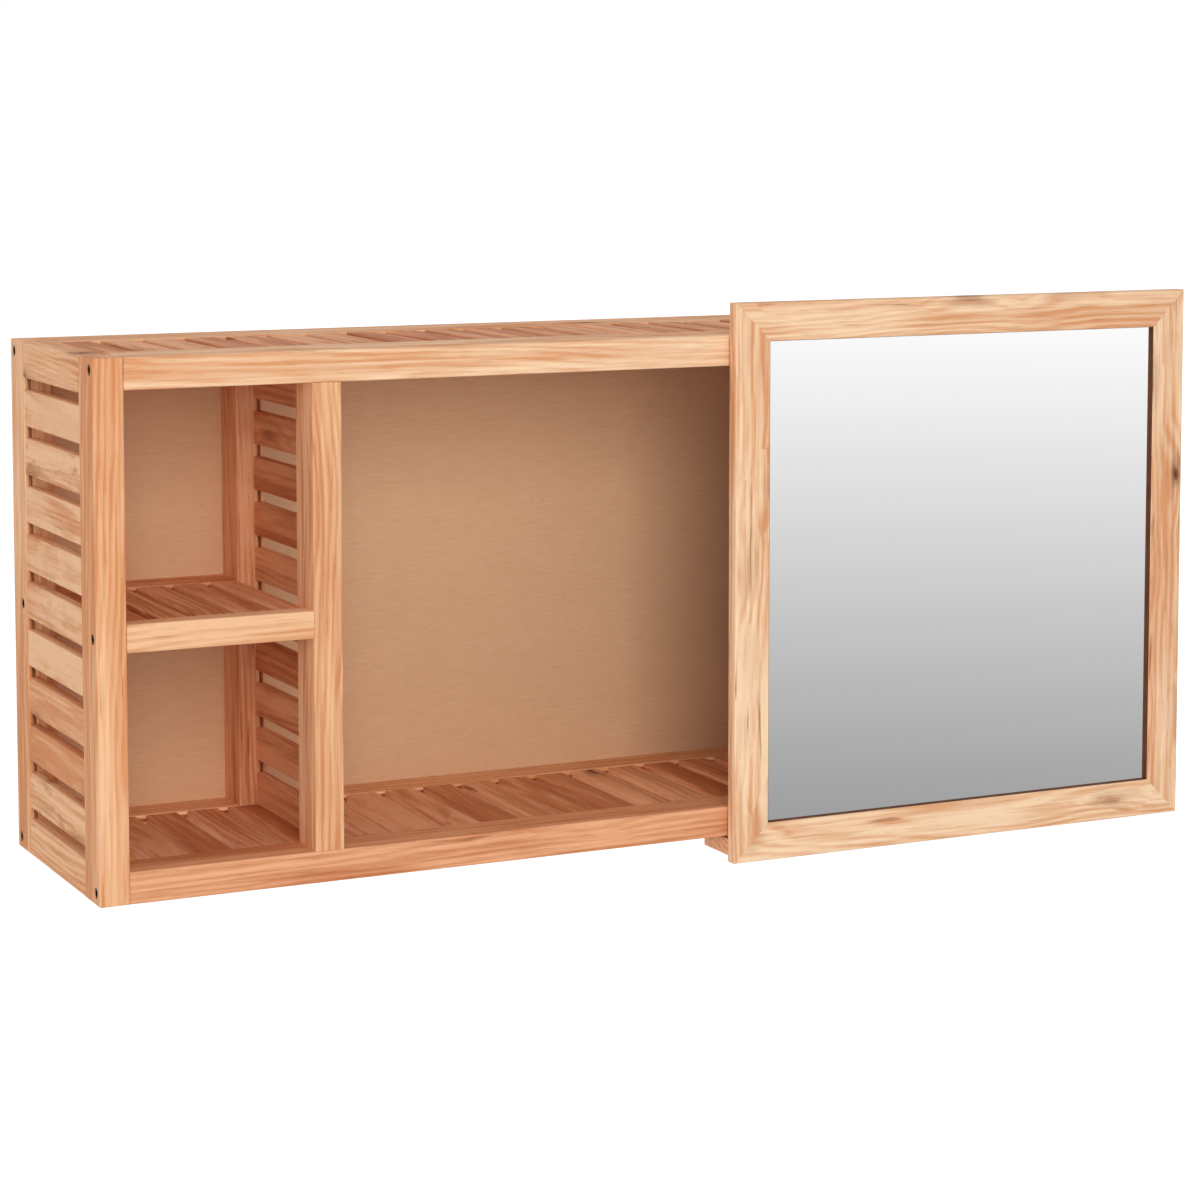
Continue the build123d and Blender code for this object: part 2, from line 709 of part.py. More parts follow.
# Glass against the lip of the frame, and the board behind it, flush with the frame's back
with BuildPart() as mirror_glass:
    with BuildSketch(Plane.XZ.offset(-mirror_back_y + backing_thickness)):
        with Locations((mirror_mid_x, mirror_mid_z)):
            Rectangle(rebate_size[0] - 2 * glass_play, rebate_size[1] - 2 * glass_play)
    extrude(amount=glass_thickness)
save(mirror_glass.part, "mirror_glass")

with BuildPart() as mirror_backing:
    with BuildSketch(Plane.XZ.offset(-mirror_back_y)):
        with Locations((mirror_mid_x, mirror_mid_z)):
            Rectangle(rebate_size[0] - 2 * glass_play, rebate_size[1] - 2 * glass_play)
    extrude(amount=backing_thickness)
save(mirror_backing.part, "mirror_backing")

# Flat steel clips round the board, one screw each
with BuildPart() as backing_clips:
    for x, z, out_x, out_z in clip_places:
        with BuildSketch(Plane.XZ.offset(-mirror_back_y - clip_thickness)):
            with Locations((x + out_x * clip_in, z + out_z * clip_in)):
                RectangleRounded(
                    clip_length if out_x else clip_width, clip_length if out_z else clip_width, edge_radius
                )
            with Locations((x + out_x * clip_screw_in, z + out_z * clip_screw_in)):
                Circle(clip_screw_shank_radius + bolt_play, mode=Mode.SUBTRACT)
        extrude(amount=clip_thickness)
save(backing_clips.part, "backing_clips")

with BuildPart() as clip_screw:
    Cylinder(clip_screw_head_radius, clip_screw_head_height, align=(Align.CENTER, Align.CENTER, Align.MIN))
    fillet(clip_screw.edges().group_by(Axis.Z)[-1], clip_screw_head_height / 2)
    Cylinder(clip_screw_shank_radius, clip_screw_length, align=(Align.CENTER, Align.CENTER, Align.MAX))
with BuildPart() as clip_screws:
    with Locations(
        *[
            outward(x + out_x * clip_screw_in, mirror_back_y + clip_thickness, z + out_z * clip_screw_in, (0, 1, 0))
            for x, z, out_x, out_z in clip_places
        ]
    ):
        add(clip_screw.part)
save(clip_screws.part, "clip_screws")

# Hangers: bent steel strip, up the back of the frame, over the rail and down into the track
arm_z = top_z + hanger_lift
lip_y = track_y + hanger_steel / 2
lip_end_z = top_z - track_depth + hanger_lip_short
hanger_screw = make_countersunk(frame_screw_depth + hanger_steel)
for x, side in zip(hanger_places, ("left", "right")):
    seats = [
        outward(x + shift, mirror_back_y + hanger_steel, hanger_screw_z, (0, 1, 0))
        for shift in (-hanger_screw_shift, hanger_screw_shift)
    ]
    with BuildPart() as hanger:
        with BuildSketch(Plane.YZ.offset(x - hanger_width / 2)):
            with BuildLine():
                Polyline(
                    (mirror_back_y, arm_z),
                    (lip_y - hanger_steel, arm_z),
                    (lip_y - hanger_steel, lip_end_z),
                    (lip_y, lip_end_z),
                    (lip_y, arm_z + hanger_steel),
                    (mirror_back_y + hanger_steel, arm_z + hanger_steel),
                    (mirror_back_y + hanger_steel, arm_z + hanger_leg),
                    (mirror_back_y, arm_z + hanger_leg),
                    close=True,
                )
            make_face()
        extrude(amount=hanger_width)
        leg_top = hanger.edges().filter_by(Axis.Y).group_by(Axis.Z)[-1]
        fillet(leg_top, 3 * hanger_steel)
        with Locations(*seats):
            cut_screw_seat(hanger_steel)
    save(hanger.part, f"{side}_hanger")

with BuildPart() as hanger_screws:
    with Locations(
        *[
            outward(x + shift, mirror_back_y + hanger_steel, hanger_screw_z, (0, 1, 0))
            for x in hanger_places
            for shift in (-hanger_screw_shift, hanger_screw_shift)
        ]
    ):
        add(hanger_screw)
save(hanger_screws.part, "hanger_screws")

# Nylon glides on the lips: a tongue that runs in the track, under a flange that rides on the rail
glide_width = track_width - 2 * glide_side_play
glide_low_z = top_z - track_depth + glide_rest_play
with BuildPart() as hanger_glides:
    for x in hanger_places:
        with BuildSketch(Plane.YZ.offset(x - glide_length / 2)):
            with Locations((track_y, (glide_low_z + arm_z) / 2)):
                Rectangle(glide_width, arm_z - glide_low_z)
            with Locations((track_y, (top_z + glide_rest_play + arm_z) / 2)):
                Rectangle(glide_flange, arm_z - top_z - glide_rest_play)
            with Locations((track_y, (lip_end_z + arm_z) / 2)):
                Rectangle(hanger_steel, arm_z - lip_end_z, mode=Mode.SUBTRACT)
        extrude(amount=glide_length)
save(hanger_glides.part, "hanger_glides")

# Stop pins across the track, where the hangers end their travel
with BuildPart() as track_stops:
    with Locations(*[(sign * stop_x, track_y, top_z - slat_setback) for sign in (-1, 1)]):
        Cylinder(stop_radius, track_depth + stop_sunk - slat_setback,
                 align=(Align.CENTER, Align.CENTER, Align.MAX))
    chamfer(track_stops.edges().filter_by(GeomType.CIRCLE).group_by(Axis.Z)[-1], end_chamfer)
save(track_stops.part, "track_stops")

# Runner along the bottom of the mirror, screwed on from behind, with two guide pins
pin_top_z = bottom_z + guide_depth - guide_clear
runner_top_z = bottom_z - runner_gap
with BuildPart() as mirror_runner:
    with BuildSketch(Plane.YZ.offset(left_x)):
        with Locations((mirror_back_y + runner_depth / 2, runner_mid_z)):
            RectangleRounded(runner_depth, runner_height, edge_radius)
    extrude(amount=mirror_width)
    with Locations(*[outward(x, guide_y, runner_top_z, (0, 0, 1)) for x in hanger_places]):
        Hole(pin_radius + dowel_play, pin_seat_depth)
    with Locations(*[outward(x, runner_back_y, runner_mid_z, (0, 1, 0)) for x in runner_screw_places]):
        CounterBoreHole(small_shank_radius + bolt_play, runner_bore_radius, runner_screw_sunk, runner_depth)
save(mirror_runner.part, "mirror_runner")

runner_screw = make_countersunk(runner_screw_length)
with BuildPart() as runner_screws:
    with Locations(
        *[
            outward(x, runner_back_y - runner_screw_sunk + small_head_radius - small_shank_radius,
                    runner_mid_z, (0, 1, 0))
            for x in runner_screw_places
        ]
    ):
        add(runner_screw)
save(runner_screws.part, "runner_screws")

with BuildPart() as runner_pins:
    with Locations(*[(x, guide_y, runner_top_z) for x in hanger_places]):
        Cylinder(pin_flange_radius, pin_flange_height, align=(Align.CENTER, Align.CENTER, Align.MIN))
    with Locations(*[(x, guide_y, pin_top_z) for x in hanger_places]):
        Cylinder(pin_radius, pin_top_z - runner_top_z + pin_seat_depth - dowel_play,
                 align=(Align.CENTER, Align.CENTER, Align.MAX))
    fillet(runner_pins.edges().filter_by(GeomType.CIRCLE).group_by(Axis.Z)[-1], pin_radius / 4)
save(runner_pins.part, "runner_pins")

print(f"mirror travel {2 * mirror_mid_x:.1f} mm, side gap {side_gap:.2f}, cross slat {cross_slat_width:.2f}")
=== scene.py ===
# %% [markdown]
# # A slatted wall cabinet with a sliding mirror
#
# The cabinet is solid wood: four posts, long rails between them, and rows of thin slats let
# into grooves. A framed mirror hangs from a track in the top rail and slides along the front.
#
# The first cell loads the exact solids. They stay where they are, and everything that is made
# here is in metres in the same frame: X along the cabinet, Y back to the wall, Z up.

# %% Load the solids
import math

import bmesh
import bpy
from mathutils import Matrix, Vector


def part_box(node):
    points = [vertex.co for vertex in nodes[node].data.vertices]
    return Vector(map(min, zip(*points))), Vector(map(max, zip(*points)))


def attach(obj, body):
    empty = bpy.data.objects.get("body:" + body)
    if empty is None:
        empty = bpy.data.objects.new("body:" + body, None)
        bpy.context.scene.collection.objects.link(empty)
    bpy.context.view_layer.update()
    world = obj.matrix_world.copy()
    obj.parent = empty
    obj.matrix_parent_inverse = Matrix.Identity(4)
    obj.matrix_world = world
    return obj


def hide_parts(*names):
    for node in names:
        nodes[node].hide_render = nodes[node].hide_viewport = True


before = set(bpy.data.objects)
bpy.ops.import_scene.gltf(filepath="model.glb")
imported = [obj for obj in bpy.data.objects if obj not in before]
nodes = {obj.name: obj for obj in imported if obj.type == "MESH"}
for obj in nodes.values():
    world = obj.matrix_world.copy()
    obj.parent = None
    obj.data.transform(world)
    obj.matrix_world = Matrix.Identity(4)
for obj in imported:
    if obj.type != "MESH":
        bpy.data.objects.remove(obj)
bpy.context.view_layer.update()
scene = bpy.context.scene

# %% [markdown]
# The picture is taken from the left, a little above the top of the cabinet, with a long lens.
# A long lens keeps the far end nearly as tall as the near one. The small shift slides the frame
# down, as a view camera does, so that the upright posts stay almost upright in the picture.

# %% Camera
camera_place = (-1.1166, -2.3656, 0.2137)
camera_turn = 25.962
camera_tilt = 4.954
camera_lens = 93.29
camera_shift = -0.185

camera_data = bpy.data.cameras.new("camera")
camera_data.lens = camera_lens
camera_data.sensor_width = 36.0
camera_data.shift_y = camera_shift
camera = bpy.data.objects.new("camera", camera_data)
camera.location = camera_place
camera.rotation_euler = (math.radians(90 - camera_tilt), 0, -math.radians(camera_turn))
scene.collection.objects.link(camera)
scene.camera = camera
scene.view_settings.view_transform = "Standard"
print("camera:", round(Vector(camera_place).length, 3), "m from the middle of the back")

# %% [markdown]
# Every material and every tree below is built from nodes, and a few helpers keep that short. One
# adds a node and fills its inputs, and the others add a sum, a step on vectors, a mix of two
# colours or a stretch of a number from one range to another. The last turns a colour as it is
# named on a screen into the linear colour that light needs.

# %% Helpers for nodes
def put(tree, kind, inputs=None, **settings):
    """Add a node. An input is a plain value, or an output of another node, which is linked."""
    node = tree.nodes.new(kind)
    for name, value in settings.items():
        setattr(node, name, value)
    for name, value in (inputs or {}).items():
        socket = node.inputs[name]
        if isinstance(value, bpy.types.NodeSocket):
            tree.links.new(value, socket)
        else:
            socket.default_value = value
    return node


def calc(tree, operation, *values, clamp=False):
    """A step of arithmetic on numbers, as one output."""
    inputs = dict(enumerate(values))
    return put(tree, "ShaderNodeMath", inputs, operation=operation, use_clamp=clamp).outputs[0]


def vector_calc(tree, operation, *values):
    """A step of arithmetic on vectors, as one output."""
    inputs = dict(enumerate(values))
    return put(tree, "ShaderNodeVectorMath", inputs, operation=operation).outputs[0]


def blend_colour(tree, share, first, second):
    """Mix two colours by a share from 0 to 1."""
    node = put(tree, "ShaderNodeMix", data_type="RGBA")
    for index, value in ((0, share), (6, first), (7, second)):
        if isinstance(value, bpy.types.NodeSocket):
            tree.links.new(value, node.inputs[index])
        else:
            node.inputs[index].default_value = value
    return node.outputs[2]


def band(tree, value, low, high, start=0.0, end=1.0):
    """Stretch a number from one range to another, held at both ends."""
    inputs = {"Value": value, "From Min": low, "From Max": high, "To Min": start, "To Max": end}
    return put(tree, "ShaderNodeMapRange", inputs, clamp=True).outputs["Result"]


def paint(hex_text):
    """A colour as it is named on a screen, turned into the linear colour of light."""
    parts = [int(hex_text[i : i + 2], 16) / 255 for i in (0, 2, 4)]
    linear = [c / 12.92 if c <= 0.04045 else ((c + 0.055) / 1.055) ** 2.4 for c in parts]
    return (*linear, 1.0)


print("a pale wood in linear light:", [round(c, 3) for c in paint("e8b78f")])

# %% [markdown]
# ## Stage and light
#
# A wall cabinet hangs at eye height, so the floor is far below it. The floor is pale and keeps
# the soft shadow, and both floor and world look white to the camera. The mirror faces the
# camera's side of the room, and what it shows there is a card that goes from white, at the
# height of the eye, to grey below. So the world is graded, but only for rays that were
# reflected, and the floor stays out of them. Above the eye and far below it the card changes
# tone once more, so the mirror isn't one flat tone from any side.

# %% World
white = (1.0, 1.0, 1.0, 1.0)
fill_strength = 0.5
# The card: how far up or down a reflected ray looks, and the tone that it meets there
card_grey_at, card_white_at = -0.225, -0.066
card_grey, card_bend = 0.352, 1.15
above_from, above_to, above_tone = -0.055, 0.08, 0.6
below_from, below_to, below_tone = -0.24, -0.9, 0.65

world = bpy.data.worlds.new("studio")
scene.world = world
world.use_nodes = True
tree = world.node_tree
tree.nodes.clear()
ray = put(tree, "ShaderNodeLightPath")
direction = put(tree, "ShaderNodeTexCoord").outputs["Object"]
height = put(tree, "ShaderNodeSeparateXYZ", {"Vector": direction}).outputs["Z"]
fade = calc(tree, "POWER", band(tree, height, card_grey_at, card_white_at), card_bend)
card = calc(tree, "MULTIPLY_ADD", fade, 1.0 - card_grey, card_grey)
above = band(tree, height, above_from, above_to, 1.0, above_tone)
below = band(tree, height, below_to, below_from, below_tone, card_grey)
card = calc(tree, "MAXIMUM", calc(tree, "MINIMUM", card, above), below)
card_colour = put(tree, "ShaderNodeCombineColor", dict.fromkeys(("Red", "Green", "Blue"), card))
fill = (fill_strength, fill_strength, fill_strength, 1.0)
seen = blend_colour(tree, ray.outputs["Is Glossy Ray"], fill, card_colour.outputs[0])
seen = blend_colour(tree, ray.outputs["Is Transmission Ray"], seen, white)
seen = blend_colour(tree, ray.outputs["Is Camera Ray"], seen, white)
sky = put(tree, "ShaderNodeBackground", {"Color": seen, "Strength": 1.0})
put(tree, "ShaderNodeOutputWorld", {"Surface": sky.outputs[0]})
print("world nodes:", len(tree.nodes))

# %% Floor
floor_height = -1.55
floor_half = 30.0
floor_lift = 0.7
floor_tones = ((0.86, 0.86, 0.86, 1), (0.9, 0.9, 0.9, 1))

floor_mesh = bpy.data.meshes.new("floor")
floor_corners = [(x * floor_half, y * floor_half, floor_height)
                 for x, y in ((-1, -1), (1, -1), (1, 1), (-1, 1))]
floor_mesh.from_pydata(floor_corners, [], [(0, 1, 2, 3)])
floor = bpy.data.objects.new("floor", floor_mesh)
scene.collection.objects.link(floor)

floor_finish = bpy.data.materials.new("pale floor")
floor_finish.use_nodes = True
tree = floor_finish.node_tree
tree.nodes.clear()
ray = put(tree, "ShaderNodeLightPath")
grain = put(tree, "ShaderNodeTexNoise", {"Scale": 3.0, "Detail": 3.0})
tree.links.new(put(tree, "ShaderNodeTexCoord").outputs["Object"], grain.inputs["Vector"])
tone = blend_colour(tree, grain.outputs["Fac"], *floor_tones)
lift = calc(tree, "MULTIPLY", ray.outputs["Is Camera Ray"], floor_lift)
cloth = put(tree, "ShaderNodeBsdfDiffuse", {"Color": tone})
glow = put(tree, "ShaderNodeEmission", {"Color": white, "Strength": lift})
both = put(tree, "ShaderNodeAddShader", {0: cloth.outputs[0], 1: glow.outputs[0]})
put(tree, "ShaderNodeOutputMaterial", {"Surface": both.outputs[0]})
floor_mesh.materials.append(floor_finish)
floor.visible_glossy = False
print("floor at", floor_height)

# %% [markdown]
# The key lamp is a wide soft box in front of the cabinet, to the left and above. It lights the
# front faces fully, and the bays least, as their own frames shade them. A smaller lamp at the
# left fills the side. A weaker lamp behind keeps the back readable when the cabinet is seen from
# there.

# %% Lamps
def soft_box(name, place, target, size, power):
    """A square lamp that looks at a point. It lights surfaces but isn't seen in the mirror."""
    lamp_data = bpy.data.lights.new(name, "AREA")
    lamp_data.shape = "SQUARE"
    lamp_data.size = size
    lamp_data.energy = power
    lamp = bpy.data.objects.new(name, lamp_data)
    lamp.location = place
    lamp.rotation_euler = (Vector(target) - Vector(place)).to_track_quat("-Z", "Y").to_euler()
    lamp.visible_glossy = False
    scene.collection.objects.link(lamp)


soft_box("key", (-0.95, -3.5, 0.95), (0.0, -0.2, -0.16), 1.8, 58.0)
soft_box("side", (-3.4, -1.0, 0.3), (-0.4, -0.1, -0.16), 1.6, 22.0)
soft_box("back", (1.6, 2.6, 1.2), (0.0, 0.0, -0.16), 1.8, 34.0)

# %% [markdown]
# ## Wood
#
# All the wood is one oiled, light walnut. A board is cut from a log, so its figure is a slice
# through growth rings: straight fine lines where the cut runs across them, and long arches
# where it grazes them. Over the rings lie fibres as fine streaks, pores as short dark dashes,
# and now and then a knot with darker wood round it.
#
# A picture of wood would have to be wrapped round each board. Rings in space need no wrapping:
# the face, the edge and the end grain of a board agree because they cut the same rings. The
# pattern is one node group. It takes a place measured from the middle of the board, with X along
# the grain, and a number that makes each board its own.

# %% The group of the board pattern
board_pattern = bpy.data.node_groups.new("board pattern", "ShaderNodeTree")
pattern_inputs = (
    ("Place", "Vector", None),
    ("Board", "Float", 0.0),
    ("Pale", "Color", paint("f4c8a0")),
    ("Deep", "Color", paint("d79a70")),
    ("Streak", "Color", paint("a8663e")),
    ("Knots", "Float", 0.2),
    ("Contrast", "Float", 1.0),
    ("Spread", "Float", 0.4),
    ("Mottle", "Float", 0.0),
)
for label, kind, value in pattern_inputs:
    socket = board_pattern.interface.new_socket(
        label, in_out="INPUT", socket_type="NodeSocket" + kind)
    if value is not None:
        socket.default_value = value
for label, kind in (("Colour", "Color"), ("Roughness", "Float"), ("Height", "Float")):
    board_pattern.interface.new_socket(label, in_out="OUTPUT", socket_type="NodeSocket" + kind)

tree = board_pattern
given = put(tree, "NodeGroupInput").outputs
place = given["Place"]


def noise(tree, place, stretch, detail=2.0, roughness=0.5, seed=0.0):
    """Cloudy noise, drawn out by a different scale along each axis."""
    scaled = vector_calc(tree, "MULTIPLY", place, stretch)
    inputs = {"Vector": scaled, "W": seed, "Scale": 1.0, "Detail": detail, "Roughness": roughness}
    return put(tree, "ShaderNodeTexNoise", inputs, noise_dimensions="4D").outputs["Fac"]


def drawn_out(along, across, detail=2.0, roughness=0.5):
    """The board's own noise, with one scale along the grain and one across it."""
    return noise(tree, place, (along, across, across), detail, roughness, board_seed)


board_seed = calc(tree, "MULTIPLY", given["Board"], 37.0)
lottery = put(tree, "ShaderNodeTexWhiteNoise", {"W": board_seed}, noise_dimensions="1D")
draw = put(tree, "ShaderNodeSeparateColor", {"Color": lottery.outputs["Color"]}).outputs
print("inputs of the board pattern:", len(pattern_inputs))

# %% [markdown]
# A knot is where a branch left the trunk. Space is cut into cells that are long along the grain
# and deep across the board, a few of them hold a knot, and the distance from the middle of the
# cell gives the dark core, the brown knot, the stained halo and the swelling of the rings.

# %% Knots
knot_cells = (11.0, 34.0, 12.0)
knot_wobble = 0.3

own_shift = put(tree, "ShaderNodeCombineXYZ", {
    axis: calc(tree, "MULTIPLY", board_seed, share)
    for axis, share in (("X", 1.0), ("Y", 1.7), ("Z", 0.6))}).outputs[0]
wobble = calc(tree, "MULTIPLY", drawn_out(40.0, 110.0), knot_wobble)
wobble = put(tree, "ShaderNodeCombineXYZ", {"X": wobble, "Y": wobble}).outputs[0]
cell_place = vector_calc(tree, "MULTIPLY", place, knot_cells)
for move in (own_shift, wobble):
    cell_place = vector_calc(tree, "ADD", cell_place, move)
cells = put(tree, "ShaderNodeTexVoronoi", {"Vector": cell_place, "Scale": 1.0},
            voronoi_dimensions="3D").outputs
cell_draw = put(tree, "ShaderNodeSeparateColor", {"Color": cells["Color"]}).outputs["Red"]
has_knot = calc(tree, "LESS_THAN", cell_draw, given["Knots"])


def round_knot(inner, outer):
    """One inside the inner distance from the middle of a knot, and nothing past the outer."""
    return calc(tree, "MULTIPLY", has_knot, band(tree, cells["Distance"], inner, outer, 1.0, 0.0))


core = round_knot(0.05, 0.1)
knot = round_knot(0.08, 0.19)
halo = round_knot(0.08, 0.38)
swell = round_knot(0.12, 0.6)
print("knot cell, mm:", [round(1000 / share) for share in knot_cells])

# %% [markdown]
# The rings are circles round the heart of the log, which lies some way beside and under the
# board. The heart wanders a little along the board and the rings are never quite round, and
# that is what turns straight lines into flowing ones. All lengths are in metres.

# %% Rings
ring_spacing = 0.0046
heart_beside = (-0.035, 0.035)
heart_below = (0.012, 0.06)
heart_wander = 0.045
heart_slant = (-0.05, 0.05)
knot_swell = 0.007
ring_unrest = 1.7
ring_sharpness = 1.3

parts = put(tree, "ShaderNodeSeparateXYZ", {"Vector": place}).outputs
across = calc(tree, "ADD", parts["Y"], band(tree, draw["Red"], 0.0, 1.0, *heart_beside))
across = calc(tree, "MULTIPLY_ADD", drawn_out(3.2, 10.0), heart_wander, across)
deep = calc(tree, "ADD", parts["Z"], band(tree, draw["Green"], 0.0, 1.0, *heart_below))
deep = calc(tree, "MULTIPLY_ADD", swell, knot_swell, deep)
slant = calc(tree, "MULTIPLY", parts["X"], band(tree, draw["Blue"], 0.0, 1.0, *heart_slant))
deep = calc(tree, "ADD", deep, slant)
radius = calc(tree, "SQRT", calc(tree, "ADD", calc(tree, "MULTIPLY", across, across),
                                 calc(tree, "MULTIPLY", deep, deep)))
unrest = calc(tree, "MULTIPLY", drawn_out(9.0, 120.0, 3.0, 0.6), ring_unrest)
turns = calc(tree, "ADD", calc(tree, "DIVIDE", radius, ring_spacing), unrest)
ring = calc(tree, "SINE", calc(tree, "MULTIPLY", turns, 2 * math.pi))
ring = calc(tree, "POWER", calc(tree, "MULTIPLY_ADD", ring, 0.5, 0.5), ring_sharpness)
print("rings in 30 mm:", round(0.03 / ring_spacing, 1))

# %% [markdown]
# Over the rings lie noises of several sizes, all drawn out along the grain: slow patches of
# tone, stripes, streaks and fibres. Together they say how deep the colour is at a place, from
# pale to deep. Pores, long flecks, stain round a knot and mottling then add the dark colour.

# %% Depth of colour
depth_middle = 0.74

stripes = band(tree, drawn_out(2.6, 80.0, 2.0, 0.55), 0.38, 0.62)
streaks = drawn_out(6.0, 300.0, 3.0, 0.6)
fibre = drawn_out(12.0, 950.0, 2.0, 0.6)
patches = band(tree, drawn_out(5.0, 36.0, 3.0, 0.55), 0.4, 0.6)
rings = calc(tree, "MULTIPLY", ring, calc(tree, "MULTIPLY_ADD", patches, 0.5, 0.5))

depth = calc(tree, "MULTIPLY", stripes, 0.3)
for share, weight in (
    (band(tree, streaks, 0.35, 0.66), 0.34),
    (band(tree, fibre, 0.35, 0.66), 0.24),
    (rings, 0.46),
    (patches, 0.28),
):
    depth = calc(tree, "MULTIPLY_ADD", share, weight, depth)
own_tone = calc(tree, "MULTIPLY_ADD", draw["Blue"], given["Spread"],
                calc(tree, "MULTIPLY", given["Spread"], -0.5))
depth = calc(tree, "ADD", calc(tree, "SUBTRACT", depth, depth_middle), own_tone)
depth = calc(tree, "MULTIPLY_ADD", depth, given["Contrast"], 0.5, clamp=True)
colour = blend_colour(tree, depth, given["Pale"], given["Deep"])
print("nodes so far:", len(tree.nodes))

# %% Dark marks and finish
knot_brown = paint("7a4a2b")
core_brown = paint("4e2c18")

pores = band(tree, drawn_out(50.0, 1500.0, 1.0), 0.6, 0.74)
flecks = band(tree, drawn_out(13.0, 240.0), 0.66, 0.76)
blots = band(tree, drawn_out(24.0, 62.0, 3.0, 0.6), 0.5, 0.64)
blots = calc(tree, "MULTIPLY", blots, band(tree, draw["Red"], 0.2, 0.9))

dark = calc(tree, "MULTIPLY", pores, 0.3)
for mark in (
    calc(tree, "MULTIPLY", flecks, 0.75),
    calc(tree, "MULTIPLY", halo, band(tree, streaks, 0.3, 0.6, 0.15, 0.62)),
    calc(tree, "MULTIPLY", blots, given["Mottle"]),
):
    dark = calc(tree, "MAXIMUM", dark, mark)
colour = blend_colour(tree, dark, colour, given["Streak"])
colour = blend_colour(tree, calc(tree, "MULTIPLY", knot, 0.5), colour, knot_brown)
colour = blend_colour(tree, calc(tree, "MULTIPLY", core, 0.8), colour, core_brown)

sheen = calc(tree, "MULTIPLY_ADD", fibre, 0.16, 0.52)
relief = calc(tree, "SUBTRACT", calc(tree, "MULTIPLY", fibre, 0.5),
              calc(tree, "MULTIPLY", pores, 0.5))
put(tree, "NodeGroupOutput", {"Colour": colour, "Roughness": sheen, "Height": relief})
print("board pattern nodes:", len(tree.nodes))

# %% [markdown]
# A board takes this pattern by moving its middle to zero, and through a Mapping node that turns
# its long side to X. The turn also decides which face grazes the rings: the flat turns bring
# the arches to the front face of a board, and the plain ones bring the straight lines there.
# The slats can't be moved so, because one object holds a whole row. Each slat is given its own
# place and number as attributes when the row is made, and the wood reads those.
#
# Four sets of colours are the same wood in four tones: the outer boards, three front boards
# that are a little duller, the reddish boards of the inside, and golden ones.

# %% Wood for a single board and for a row of slats
quarter = math.pi / 2
grain_turns = {
    "x": (0, 0, 0), "y": (0, 0, -quarter), "z": (0, quarter, 0),
    "x flat": (quarter, 0, 0), "y flat": (0, quarter, -quarter), "z flat": (quarter, 0, -quarter),
}
oiled_wood = {"Pale": "f7c599", "Deep": "da905f", "Streak": "a15d36"}
warm_wood = {"Pale": "f4c196", "Deep": "d38d5e", "Streak": "9c5c36"}
inner_wood = {"Pale": "f0b084", "Deep": "c5784c", "Streak": "8c4c2d"}
golden_wood = {"Pale": "fddab4", "Deep": "e09e6f", "Streak": "95552f"}


def wood_shader(tree, place_socket, board_socket, numbers, colours):
    """The part of a wood material that is the same for boards and slats."""
    group = put(tree, "ShaderNodeGroup", node_tree=board_pattern)
    tree.links.new(place_socket, group.inputs["Place"])
    if isinstance(board_socket, bpy.types.NodeSocket):
        tree.links.new(board_socket, group.inputs["Board"])
    else:
        group.inputs["Board"].default_value = board_socket
    for label, hex_text in colours.items():
        group.inputs[label].default_value = paint(hex_text)
    for label, value in zip(("Knots", "Contrast", "Spread", "Mottle"), numbers):
        group.inputs[label].default_value = value
    relief = put(tree, "ShaderNodeBump", {
        "Strength": 0.5, "Distance": 0.00012, "Height": group.outputs["Height"]})
    finish_surface(tree, {
        "Base Color": group.outputs["Colour"],
        "Roughness": group.outputs["Roughness"],
        "Normal": relief.outputs[0],
        "Specular IOR Level": 0.2,
    })


def finish_surface(tree, inputs):
    """Close a material with one surface node and the output."""
    surface = put(tree, "ShaderNodeBsdfPrincipled", inputs)
    put(tree, "ShaderNodeOutputMaterial", {"Surface": surface.outputs[0]})


def fresh_material(name):
    """An empty node material."""
    material = bpy.data.materials.new(name)
    material.use_nodes = True
    material.node_tree.nodes.clear()
    return material


def board_wood(node, grain, board, knots, contrast, colours=oiled_wood, spread=0.3, mottle=0.0):
    """Wood for one board of the solids, with the grain along an axis."""
    low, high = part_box(node)
    material = fresh_material(f"wood {node}")
    tree = material.node_tree
    here = put(tree, "ShaderNodeTexCoord").outputs["Object"]
    centred = vector_calc(tree, "SUBTRACT", here, tuple((low + high) / 2))
    turned = put(tree, "ShaderNodeMapping", {"Vector": centred, "Rotation": grain_turns[grain]})
    wood_shader(tree, turned.outputs[0], board, (knots, contrast, spread, mottle), colours)
    return material


def slat_wood(name, knots, contrast, colours, spread, mottle):
    """Wood for a row of slats, each with its own place and number."""
    material = fresh_material(name)
    tree = material.node_tree
    here = put(tree, "ShaderNodeAttribute", attribute_name="place").outputs["Vector"]
    own = put(tree, "ShaderNodeAttribute", attribute_name="board").outputs["Fac"]
    wood_shader(tree, here, own, (knots, contrast, spread, mottle), colours)
    return material


def dress(node, material):
    """Give a solid its finish in every slot."""
    mesh = nodes[node].data
    if not mesh.materials:
        mesh.materials.append(material)
    for i in range(len(mesh.materials)):
        mesh.materials[i] = material


print("tones of wood: 4, turns of the grain:", len(grain_turns))

# %% Boards of the cabinet
board_contrast = 1.25

